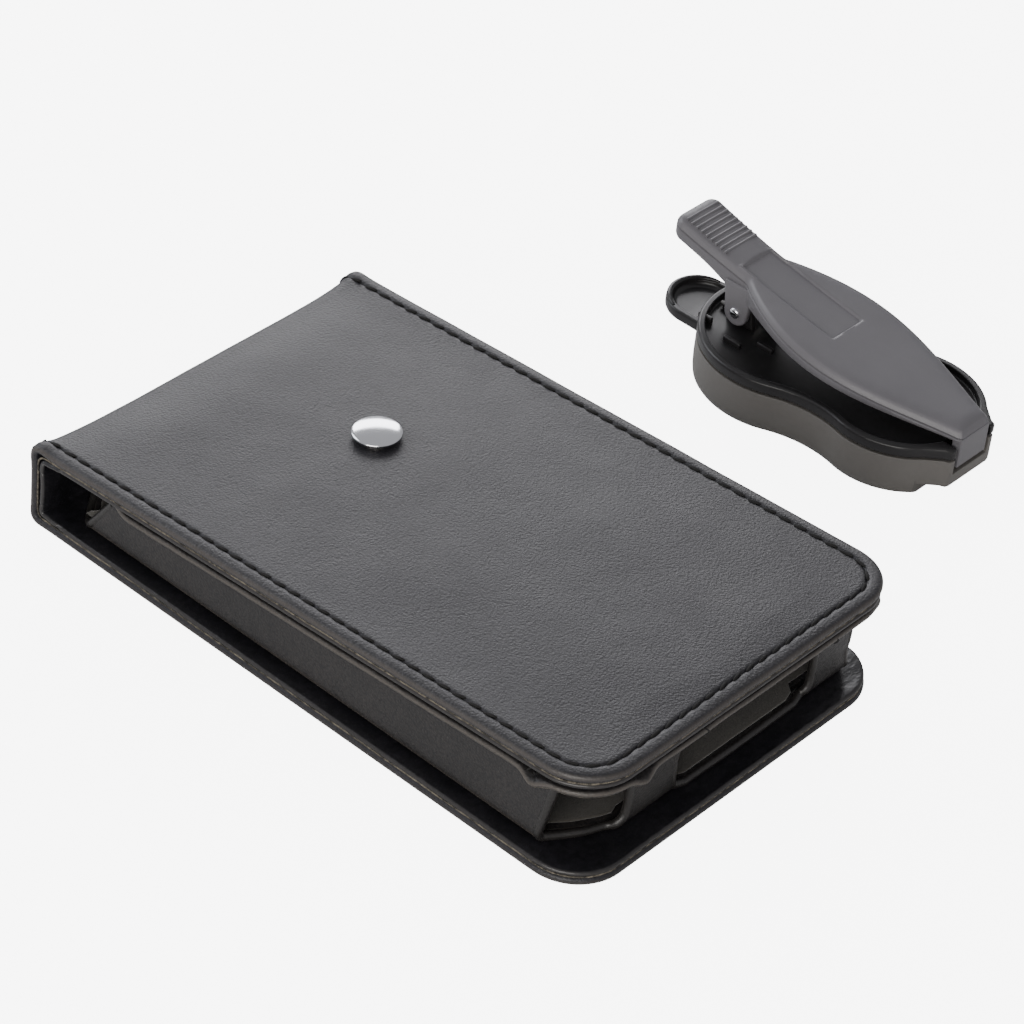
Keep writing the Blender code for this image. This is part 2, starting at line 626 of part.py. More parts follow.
def make_arm(pivot, shift):
    """Lever arm: thumb tail, leaf-shaped blade, hooked lip and pivot ears."""
    reach = CLIP_NOSE_X - ARM_TAIL_X
    stations = [ARM_TAIL_X + reach * step / ARM_STEPS for step in range(ARM_STEPS + 1)]
    near = [(x, -arm_half_width(x)) for x in stations]
    far = [(x, -y) for x, y in reversed(near)]
    plan = outline_mesh(near + far, 0.0, ARM_TAIL_TOP + OVERCUT)
    lip_x = CLIP_NOSE_X - LIP_LENGTH
    lip_low = SLOT_FLOOR + LIP_FLOOR_GAP
    stations[0] -= OVERCUT
    stations[-1] += OVERCUT
    under = [(x, arm_under(x)) for x in stations if x < lip_x - LIP_LENGTH / 2]
    lip = [(lip_x, arm_under(lip_x)), (lip_x, lip_low), (stations[-1], lip_low)]
    top = [(x, arm_top(x)) for x in reversed(stations)]
    side = profile_mesh(under + lip + top, -ARM_LEAF_HALF - OVERCUT, ARM_LEAF_HALF + OVERCUT)
    arm = place("clip_arm", side, CASE, PLASTIC, pivot, shift)
    cut(arm, plan, "INTERSECT")
    label = profile_mesh([(x, arm_top(x) + rise) for x, rise in label_edge()],
                         -LABEL_HALF, LABEL_HALF)
    cut(arm, label)
    for sign in (-1, 1):
        low, high = sorted((sign * ARM_EAR[0], sign * ARM_EAR[1]))
        foot = (arm_under(PIVOT_X) + arm_top(PIVOT_X)) / 2
        cut(arm, profile_mesh(ear_profile(foot), low, high), "UNION")
    bore = PIN_RADIUS + PIN_CLEARANCE
    reach = PIN_HALF_LENGTH + OVERCUT
    cut(arm, rod_mesh(bore, (PIVOT_X, -reach, PIVOT_Z), (PIVOT_X, reach, PIVOT_Z)))


def label_edge():
    """Side view of the shallow recess in the arm's top face, as places and rises."""
    low, high = LABEL_SPAN
    stations = [low + (high - low) * step / ARC_STEPS for step in range(ARC_STEPS + 1)]
    floor = [(x, -LABEL_DEPTH) for x in stations]
    return floor + [(high, OVERCUT), (low, OVERCUT)]


def make_pivot(clip):
    """Steel pivot pin and the torsion spring wound round it."""
    pin = rod_mesh(PIN_RADIUS, (PIVOT_X, -PIN_HALF_LENGTH, PIVOT_Z),
                   (PIVOT_X, PIN_HALF_LENGTH, PIVOT_Z), ROUND_STEPS // 2)
    place("pivot_pin", pin, CASE, STEEL, clip)
    half = BASE_EAR[0] - LAYER_GAP - SPRING_WIRE
    start = math.radians(LOWER_LEG_ANGLE + 90.0)
    end = math.radians(UPPER_LEG_ANGLE - 90.0) + SPRING_TURNS * 2 * math.pi
    steps = SPRING_TURNS * 12
    coil = []
    for step in range(steps + 1):
        angle = start + (end - start) * step / steps
        x = PIVOT_X + SPRING_COIL_RADIUS * math.cos(angle)
        z = PIVOT_Z + SPRING_COIL_RADIUS * math.sin(angle)
        coil.append((x, -half + 2 * half * step / steps, z))
    legs = []
    for foot, degrees in ((coil[0], LOWER_LEG_ANGLE), (coil[-1], UPPER_LEG_ANGLE)):
        angle = math.radians(degrees)
        legs.append((foot[0] + SPRING_LEG * math.cos(angle), foot[1],
                     foot[2] + SPRING_LEG * math.sin(angle)))
    wire = wire_mesh([legs[0]] + coil + [legs[1]], SPRING_WIRE)
    place("torsion_spring", wire, CASE, STEEL, clip)


def make_latch(clip, latch_pivot, shift):
    """Release latch: thumb tab outside, keyhole plate inside, and its return spring."""
    tab_x = CLIP_BULGE_X - CLIP_BULGE_RADIUS - LATCH_TAB_REACH
    radius = LATCH_TAB_HALF
    outline = arc(tab_x + radius, 0.0, radius, 90, 270, 2 * ARC_STEPS)
    outline += [(LATCH_END_X, -radius), (LATCH_END_X, radius)]
    keyhole = arc(SOCKET_X - CATCH_LENGTH, 0.0, SOCKET_RADIUS - KEYHOLE_MARGIN, 28, 332, 3 * ARC_STEPS)
    keyhole += [(SOCKET_X + CATCH_HALF, -CATCH_HALF), (SOCKET_X + CATCH_HALF, CATCH_HALF)]
    top = LATCH_BOTTOM + LATCH_THICKNESS
    plate = outline_mesh(outline, LATCH_BOTTOM, top, [keyhole])
    place("release_latch", plate, CASE, PLASTIC, latch_pivot, shift)
    start = LATCH_END_X + LATCH_CLEARANCE + LATCH_SPRING_WIRE
    end = SPRING_STOP_X - LATCH_CLEARANCE - LATCH_SPRING_WIRE
    height = LATCH_BOTTOM + LATCH_THICKNESS / 2
    steps = LATCH_SPRING_TURNS * 10
    coil = []
    for step in range(steps + 1):
        angle = 2 * math.pi * LATCH_SPRING_TURNS * step / steps
        coil.append((start + (end - start) * step / steps,
                     LATCH_SPRING_RADIUS * math.cos(angle),
                     height + LATCH_SPRING_RADIUS * math.sin(angle)))
    place("latch_spring", wire_mesh(coil, LATCH_SPRING_WIRE), CASE, STEEL, clip)


def empty(name, location, parent=None, rotation=(0.0, 0.0, 0.0)):
    """Add an empty that carries a moving piece on its joint's axis."""
    item = bpy.data.objects.new(name, None)
    CASE.objects.link(item)
    item.location = location
    item.rotation_euler = rotation
    item.parent = parent
    return item


clear_scene()
CASE = new_collection("flip_case_with_belt_clip")
CUTTERS = new_collection("cutters")
LEATHER, LINING_CLOTH, CARD, SUEDE, CHROME, STEEL, PLASTIC = (new_material(n) for n in FINISHES)

make_flap()
spine_fold = empty("spine_fold", (SPINE_X + SKIN / 2, 0.0, SKIN / 2))
make_spine(spine_fold)
back_fold = empty("back_fold", (SPINE_X + SKIN / 2, 0.0, SPINE_HEIGHT - SKIN / 2))
back_level = empty("back_slope", (-SKIN / 2, 0.0, SKIN / 2), back_fold, (0.0, -SLOPE, 0.0))
make_back(back_level)
make_stud(back_level)
make_pocket(back_fold)
belt_clip = empty("belt_clip_place", (0.0, CLIP_AXIS_Y, 0.0))
make_housing(belt_clip)
make_base(belt_clip)
make_pivot(belt_clip)
arm_pivot = empty("arm_pivot", (PIVOT_X, 0.0, PIVOT_Z), belt_clip)
make_arm(arm_pivot, Matrix.Translation((-PIVOT_X, 0.0, -PIVOT_Z)))
latch_slide = empty("latch_slide", (SOCKET_X, 0.0, LATCH_BOTTOM), belt_clip)
make_latch(belt_clip, latch_slide, Matrix.Translation((-SOCKET_X, 0.0, -LATCH_BOTTOM)))
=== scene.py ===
"""Leather flip case with its sprung belt clip: the finished look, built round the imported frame."""

import logging
import math
from dataclasses import dataclass
from enum import Enum
from typing import Any, Callable, Mapping, Sequence

import bmesh
import bpy
import numpy as np
from mathutils import Matrix, Vector, geometry, noise


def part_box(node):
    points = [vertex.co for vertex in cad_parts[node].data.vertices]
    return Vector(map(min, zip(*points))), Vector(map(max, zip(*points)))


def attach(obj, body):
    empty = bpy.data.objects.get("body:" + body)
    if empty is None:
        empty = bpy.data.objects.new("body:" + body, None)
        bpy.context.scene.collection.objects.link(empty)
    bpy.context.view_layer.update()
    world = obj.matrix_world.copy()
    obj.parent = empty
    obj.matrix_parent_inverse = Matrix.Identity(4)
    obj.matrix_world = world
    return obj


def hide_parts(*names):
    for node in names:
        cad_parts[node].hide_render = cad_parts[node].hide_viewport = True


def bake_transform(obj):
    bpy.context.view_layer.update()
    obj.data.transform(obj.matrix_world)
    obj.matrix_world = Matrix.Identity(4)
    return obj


LOG = logging.getLogger("flip_case")
MM = 0.001
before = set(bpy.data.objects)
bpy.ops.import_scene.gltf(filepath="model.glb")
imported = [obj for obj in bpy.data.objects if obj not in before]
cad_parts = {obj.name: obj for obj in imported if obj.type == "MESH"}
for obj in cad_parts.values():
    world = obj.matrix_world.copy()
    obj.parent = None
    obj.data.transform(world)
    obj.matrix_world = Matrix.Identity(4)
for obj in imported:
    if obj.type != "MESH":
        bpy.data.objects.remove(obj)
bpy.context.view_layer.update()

Array = np.ndarray
Values = np.ndarray | float
Triple = tuple[float, float, float]
Faces = list[tuple[int, ...]]
Kit = tuple[bpy.types.NodeTree, dict[str, str]]
Piece = bpy.types.Object


# shader tools


class Link:
    """A value socket in a shader tree, so that maths on it reads as an expression."""

    def __init__(self, tree: bpy.types.NodeTree, socket: bpy.types.NodeSocket) -> None:
        """Hold the socket and its tree."""
        self.tree = tree
        self.socket = socket

    def _math(self, operation: str, first: Any, second: Any) -> "Link":
        """Add one Math node.

        Args:
            operation: The node's operation.
            first: A Link or a number.
            second: A Link or a number.

        Returns:
            The node's result.
        """
        node = self.tree.nodes.new("ShaderNodeMath")
        node.operation = operation
        for socket, value in zip(node.inputs, (first, second)):
            if isinstance(value, Link):
                self.tree.links.new(value.socket, socket)
            else:
                socket.default_value = float(value)
        return Link(self.tree, node.outputs[0])

    def __add__(self, other: Any) -> "Link":
        """Sum."""
        return self._math("ADD", self, other)

    def __radd__(self, other: Any) -> "Link":
        """Sum, reflected."""
        return self._math("ADD", other, self)

    def __sub__(self, other: Any) -> "Link":
        """Difference."""
        return self._math("SUBTRACT", self, other)

    def __rsub__(self, other: Any) -> "Link":
        """Difference, reflected."""
        return self._math("SUBTRACT", other, self)

    def __mul__(self, other: Any) -> "Link":
        """Product."""
        return self._math("MULTIPLY", self, other)


class Tree:
    """A node tree, with short ways to add nodes to it."""

    def __init__(self, tree: bpy.types.NodeTree) -> None:
        """Hold the tree."""
        self.tree = tree

    def node(self, kind: str, settings: Mapping[str, Any] = {},
             inputs: Mapping[str | int, Any] = {}) -> bpy.types.Node:
        """Add a node, make its settings and then fill its sockets.

        Args:
            kind: The node's type.
            settings: Its properties, with "stops" for a ramp's places and greys or colours.
            inputs: Values or Links by the input's name or number.

        Returns:
            The new node.
        """
        made = self.tree.nodes.new(kind)
        for key, value in settings.items():
            if key == "stops":
                self._stops(made.color_ramp, value)
            else:
                setattr(made, key, value)
        for key, value in inputs.items():
            self.feed(made.inputs[key], value)
        return made

    def out(self, kind: str, settings: Mapping[str, Any] = {},
            inputs: Mapping[str | int, Any] = {}, output: str | int = 0) -> Link:
        """Add a node and give one of its outputs."""
        return Link(self.tree, self.node(kind, settings, inputs).outputs[output])

    @staticmethod
    def _stops(ramp: bpy.types.ColorRamp, stops: Sequence[tuple[float, Any]]) -> None:
        """Set a ramp's stops.

        Args:
            ramp: The ramp.
            stops: Places with a grey or a colour each.
        """
        while len(ramp.elements) < len(stops):
            ramp.elements.new(0.5)
        for element, (place, tone) in zip(ramp.elements, stops):
            element.position = place
            colour = (tone,) * 3 if isinstance(tone, (int, float)) else tone
            element.color = (*colour, 1.0)

    def feed(self, socket: bpy.types.NodeSocket, value: Any) -> None:
        """Link a socket, or set its own value.

        Args:
            socket: The input socket.
            value: A Link, a number or a tuple.
        """
        if isinstance(value, Link):
            self.tree.links.new(value.socket, socket)
        elif isinstance(value, tuple) and socket.type == "RGBA":
            socket.default_value = (*value[:3], 1.0)
        else:
            socket.default_value = value


class Shading(Tree):
    """One material's node tree."""

    def __init__(self, name: str) -> None:
        """Start a material that holds only its output and its Principled shader."""
        self.material = bpy.data.materials.new(name)
        self.material.use_nodes = True
        super().__init__(self.material.node_tree)
        self.shader = self.tree.nodes["Principled BSDF"]
        self.place = self.out("ShaderNodeTexCoord", output="Object")

    def set(self, name: str, value: Any) -> None:
        """Feed one of the Principled shader's sockets."""
        self.feed(self.shader.inputs[name], value)

    def noise(self, size: float, detail: float = 2.0, stretch: Triple
              = (1.0, 1.0, 1.0), roughness: float = 0.5) -> Link:
        """Noise of a given size.

        Args:
            size: How wide a blotch is, in millimetres.
            detail: Octaves.
            stretch: How many times longer it is along X, Y and Z.
            roughness: How strong the fine octaves are.

        Returns:
            The noise, from 0 to 1.
        """
        vector = self.place
        if stretch != (1.0, 1.0, 1.0):
            scale = tuple(1.0 / s for s in stretch)
            vector = self.out("ShaderNodeMapping", {}, {"Vector": self.place, "Scale": scale})
        return self.out("ShaderNodeTexNoise", {}, {"Vector": vector, "Scale": 1.0 / (size * MM),
                                                   "Detail": detail, "Roughness": roughness})

    def cells(self, size: float, feature: str = "F1") -> Link:
        """Distance in a pattern of irregular cells."""
        return self.out("ShaderNodeTexVoronoi", {"feature": feature},
                        {"Vector": self.place, "Scale": 1.0 / (size * MM)}, "Distance")

    def attribute(self, name: str) -> Link:
        """Read one of the piece's own point attributes."""
        return self.out("ShaderNodeAttribute", {"attribute_name": name}, {}, "Fac")

    def ramp(self, value: Link, stops: Sequence[tuple[float, Any]]) -> Link:
        """Pass a value through a ramp."""
        return self.out("ShaderNodeValToRGB", {"stops": stops}, {"Fac": value})

    def blend(self, factor: Any, first: Any, second: Any) -> Link:
        """Mix two colours, each given as a colour or a Link."""
        return self.out("ShaderNodeMix", {"data_type": "RGBA"}, {0: factor, 6: first, 7: second}, 2)

    def bump(self, height: Link, depth: float, strength: float = 1.0) -> None:
        """Turn a height into the shader's normal."""
        self.set("Normal", self.out("ShaderNodeBump", {}, {
            "Strength": strength, "Distance": depth * MM, "Height": height}))


# finishes


@dataclass(frozen=True)
class Finish:
    """A finish that paints the material it names."""

    name: str

    def material(self) -> bpy.types.Material:
        """Make the material."""
        shading = Shading(self.name)
        self.paint(shading)
        return shading.material

    def paint(self, shading: Shading) -> None:
        """Fill the material's nodes, in each finish's own way."""
        raise NotImplementedError


@dataclass(frozen=True)
class Leather(Finish):
    """Coated leather with a pebbled grain."""

    deep: Triple
    raised: Triple
    worn_and_highlit: Triple
    roughness: float = 0.46
    grain: float = 0.62
    depth: float = 0.085
    coat: float = 0.06
    crease: float = 0.0
    valley_shade: Triple = (0.006, 0.006, 0.007)

    def paint(self, shading: Shading) -> None:
        """Paint pebbled grain with painted shade in its valleys, creases, and edges paled by wear
        and a painted highlight.

        Args:
            shading: The material's tree.
        """
        pebbles = shading.cells(self.grain, "SMOOTH_F1")
        fine = shading.noise(self.grain * 0.45, 3.0)
        broad = shading.noise(9.0, 3.0)
        mottle = shading.noise(2.6, 2.0)
        wear_and_highlight = shading.attribute("wear_and_highlight")
        height = (1.0 - pebbles) * 0.62 + fine * 0.38
        if self.crease > 0.0:
            folds = shading.noise(3.4, 3.0, (1.0, 2.2, 1.0), 0.62)
            folds = shading.ramp(folds, [(0.35, 0.0), (0.5, 1.0), (0.62, 0.2)])
            height = height + folds * self.crease
        tone = shading.ramp(broad * 0.6 + mottle * 0.25 + fine * 0.15, [(0.32, 0.0), (0.68, 1.0)])
        skin = shading.blend(tone, self.deep, self.raised)
        # The grain's valleys are darkened: painted shade.
        valley_shade_mask = shading.ramp(pebbles * 0.6 + fine * 0.4, [(0.36, 0.0), (0.6, 0.75)])
        skin = shading.blend(valley_shade_mask, skin, self.valley_shade)
        # Rounded and rolled edges turn paler and warmer: partly wear, partly a painted highlight
        # line.
        shading.set("Base Color", shading.blend(wear_and_highlight * (0.35 + fine * 0.6), skin, self.worn_and_highlit))
        shading.set("Roughness", self.roughness - 0.07 + broad * 0.1 + (1.0 - fine) * 0.06
                    - wear_and_highlight * 0.06)
        shading.set("Coat Weight", self.coat)
        shading.set("Coat Roughness", 0.42)
        shading.bump(height, self.depth, 0.9)


@dataclass(frozen=True)
class Suede(Finish):
    """Short-napped suede cloth."""

    dark: Triple
    light: Triple
    nap: float = 0.28

    def paint(self, shading: Shading) -> None:
        """Paint a brushed nap.

        Args:
            shading: The material's tree.
        """
        nap = shading.noise(self.nap, 3.0, (1.0, 1.6, 1.0), 0.65)
        brushed = shading.noise(6.0, 3.0, (1.0, 2.0, 1.0))
        tone = shading.ramp(nap * 0.55 + brushed * 0.45, [(0.34, 0.0), (0.66, 1.0)])
        shading.set("Base Color", shading.blend(tone, self.dark, self.light))
        shading.set("Roughness", 0.9 + nap * 0.1)
        shading.set("Sheen Weight", 0.35)
        shading.set("Sheen Roughness", 0.5)
        shading.bump(nap * 0.7 + brushed * 0.3, 0.12, 0.8)


@dataclass(frozen=True)
class RawEdge(Finish):
    """Pale raw edge of a cut layer, with dark dye that has bled into it."""

    pale: Triple
    dyed: Triple

    def paint(self, shading: Shading) -> None:
        """Paint bled dye over pale fibres.

        Args:
            shading: The material's tree.
        """
        bleed = shading.noise(1.4, 4.0, roughness=0.65)
        fibre = shading.noise(0.2, 2.0)
        share = shading.ramp(bleed * 0.75 + fibre * 0.25, [(0.42, 0.0), (0.6, 1.0)])
        shading.set("Base Color", shading.blend(share, self.dyed, self.pale))
        shading.set("Roughness", 0.75 + fibre * 0.2)
        shading.bump(fibre, 0.05)


@dataclass(frozen=True)
class Thread(Finish):
    """Black sewing thread, twisted and a little furry."""

    colour: Triple
    tip: Triple

    def paint(self, shading: Shading) -> None:
        """Paint furry twisted strands.

        Args:
            shading: The material's tree.
        """
        fur = shading.noise(0.12, 3.0, roughness=0.7)
        twist = shading.noise(0.5, 1.0, (0.4, 1.0, 1.0))
        shading.set("Base Color", shading.blend(fur * twist, self.colour, self.tip))
        shading.set("Roughness", 0.7 + fur * 0.25)
        shading.bump(fur * 0.6 + twist * 0.4, 0.08)


@dataclass(frozen=True)
class Moulding(Finish):
    """Moulded black plastic: spark-textured faces, smoother where it is handled."""

    colour: Triple
    rubbed_and_highlit: Triple
    roughness: float
    texture: float = 0.16
    depth: float = 0.014

    def paint(self, shading: Shading) -> None:
        """Paint spark texture, scuffs, rubbed places and painted highlights on bevels and edges.

        Args:
            shading: The material's tree.
        """
        spark = shading.noise(self.texture, 2.0, roughness=0.6)
        handled = shading.noise(7.0, 4.0, roughness=0.6)
        scuff = shading.noise(1.1, 4.0, (4.0, 1.0, 1.0), 0.7)
        wear_and_highlight = shading.attribute("wear_and_highlight")
        marks = shading.ramp(scuff, [(0.6, 0.0), (0.74, 0.5)])
        tone = shading.blend(handled * 0.5 + marks * 0.35, self.colour, self.rubbed_and_highlit)
        # Marked edges, such as the lever's bevel band, turn paler: partly wear, partly a painted
        # highlight.
        shading.set("Base Color", shading.blend(wear_and_highlight * 0.6, tone, self.rubbed_and_highlit))
        shading.set("Roughness", self.roughness + (handled - 0.5) * 0.14 - wear_and_highlight * 0.12)
        shading.bump(spark, self.depth, 0.8)


@dataclass(frozen=True)
class Metal(Finish):
    """Plated or plain metal with hairline scratches."""

    colour: Triple
    dull: Triple
    roughness: float

    def paint(self, shading: Shading) -> None:
        """Paint haze and hairline scratches.

        Args:
            shading: The material's tree.
        """
        haze = shading.noise(2.2, 4.0, roughness=0.6)
        scratches = shading.noise(0.25, 2.0, (12.0, 1.0, 1.0))
        shading.set("Base Color", shading.blend(haze * 0.5, self.colour, self.dull))
        shading.set("Metallic", 1.0)
        shading.set("Roughness", self.roughness + haze * 0.06 + scratches * 0.03)
        shading.bump(scratches, 0.002, 0.5)


@dataclass(frozen=True)
class Card(Finish):
    """Grey-brown stiffening board with pressed fibres."""

    light: Triple
    dark: Triple

    def paint(self, shading: Shading) -> None:
        """Paint pressed fibres and flecks.

        Args:
            shading: The material's tree.
        """
        fibre = shading.noise(0.35, 4.0, (3.0, 1.0, 1.0), 0.7)
        flecks = shading.ramp(shading.cells(0.9), [(0.05, 1.0), (0.2, 0.0)])
        tone = shading.blend(fibre, self.light, self.dark)
        shading.set("Base Color", shading.blend(flecks * 0.4, tone, self.dark))
        shading.set("Roughness", 0.85 + fibre * 0.1)
        shading.bump(fibre, 0.05)


class Slot(Enum):
    """Material slots of the record."""

    LEATHER = "leather"
    LINING = "lining"
    BOARD = "board"
    SUEDE = "suede"
    CHROME = "chrome"
    STEEL = "steel"
    PLASTIC = "clip_plastic"


class Finishes:
    """Every finish of the case and its clip, made once."""

    def __init__(self) -> None:
        """Make the materials."""
        self.cover = Leather("grained_cover_leather", (0.012, 0.0115, 0.0152),
            (0.021, 0.020, 0.025), (0.085, 0.074, 0.064), roughness=0.46, grain=0.36,
            depth=0.12).material()
        self.pocket = Leather("pocket_leather", (0.011, 0.010, 0.010), (0.024, 0.021, 0.020),
                              (0.12, 0.104, 0.088), roughness=0.42, grain=0.42,
                              depth=0.15).material()
        self.lining = Leather("glossy_lining", (0.007, 0.007, 0.009), (0.014, 0.013, 0.016),
                              (0.05, 0.046, 0.042), roughness=0.36, grain=0.9, depth=0.03,
                              coat=0.1, crease=1.8).material()
        self.binding = Leather("rolled_binding", (0.006, 0.006, 0.006), (0.014, 0.013, 0.013),
                               (0.05, 0.045, 0.04), roughness=0.36, grain=0.45).material()
        self.suede = Suede("napped_suede", (0.017, 0.0155, 0.0125),
            (0.046, 0.042, 0.034)).material()
        self.raw = RawEdge("raw_cut_edge", (0.2, 0.175, 0.135), (0.03, 0.027, 0.022)).material()
        self.thread = Thread("black_thread", (0.003, 0.003, 0.003),
            (0.014, 0.013, 0.013)).material()
        self.shell = Moulding("matt_shell_plastic", (0.125, 0.117, 0.108), (0.16, 0.152, 0.142),
                              0.4).material()
        self.gloss = Moulding("handled_lever_plastic", (0.128, 0.124, 0.134),
                              (0.165, 0.160, 0.171), 0.4, texture=0.26, depth=0.02).material()
        self.pan = Moulding("polished_plate_plastic", (0.009, 0.0085, 0.009),
                            (0.02, 0.019, 0.02), 0.34, texture=0.3, depth=0.004).material()
        self.chrome = Metal("bright_chrome", (0.86, 0.87, 0.90), (0.74, 0.76, 0.80),
            0.09).material()
        self.steel = Metal("plain_steel", (0.62, 0.61, 0.60), (0.42, 0.41, 0.40), 0.24).material()
        self.card = Card("stiffening_card", (0.34, 0.29, 0.22), (0.22, 0.18, 0.13)).material()


# mesh tools


def linked(name: str, data: bpy.types.ID) -> Piece:
    """Make an object and put it in the scene."""
    item = bpy.data.objects.new(name, data)
    bpy.context.scene.collection.objects.link(item)
    return item


def settle(item: Piece, body: str, slot: Slot, stands_for: str = "") -> Piece:
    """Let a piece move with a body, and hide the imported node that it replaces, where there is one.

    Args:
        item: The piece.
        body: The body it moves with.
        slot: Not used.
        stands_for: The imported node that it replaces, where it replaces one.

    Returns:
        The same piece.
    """
    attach(item, body)
    if stands_for:
        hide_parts(stands_for)
    return item


def unit(vectors: Array) -> Array:
    """Give vectors a length of one."""
    return vectors / np.maximum(np.linalg.norm(vectors, axis=1, keepdims=True), 1e-12)


def level(plan: Array, height: Values = 0.0) -> Array:
    """Give points of a plan a height."""
    return np.column_stack([plan, np.zeros(len(plan)) + height])


def edge_loops(faces: Faces) -> list[list[int]]:
    """Find the open borders of a surface.

    Args:
        faces: The surface's faces, all turned the same way.

    Returns:
        Each border as a ring of point numbers, with the surface on its left.
    """
    edges: dict[tuple[int, int], int] = {}
    for face in faces:
        for a, b in zip(face, face[1:] + face[:1]):
            edges[(a, b)] = edges.get((a, b), 0) + 1
    after = {a: b for a, b in edges if (b, a) not in edges}
    loops = []
    while after:
        start, here = next(iter(after.items()))
        del after[start]
        loop = [start]
        while here != start:
            loop.append(here)
            here = after.pop(here)
        loops.append(loop)
    return loops


def point_normals(points: Array, faces: Faces) -> Array:
    """Work out a surface's normal at each point.

    Args:
        points: Its points.
        faces: Its faces.

    Returns:
        Unit normals, one a point.
    """
    normals = np.zeros_like(points)
    for face in faces:
        corners = points[list(face)]
        across = np.cross(corners[1] - corners[0], corners[-1] - corners[0])
        if len(face) == 4:
            across = np.cross(corners[2] - corners[0], corners[3] - corners[1])
        normals[list(face)] += across
    return unit(normals)


def grid_faces(rows: int, columns: int, flip: bool = False) -> Faces:
    """Number the faces of a grid of points.

    Args:
        rows: Rows of points.
        columns: Points in a row.
        flip: Whether to turn the faces over.

    Returns:
        The faces.
    """
    faces = []
    for i in range(rows - 1):
        for j in range(columns - 1):
            a = i * columns + j
            face = (a, a + columns, a + columns + 1, a + 1)
            faces.append(face[::-1] if flip else face)
    return faces


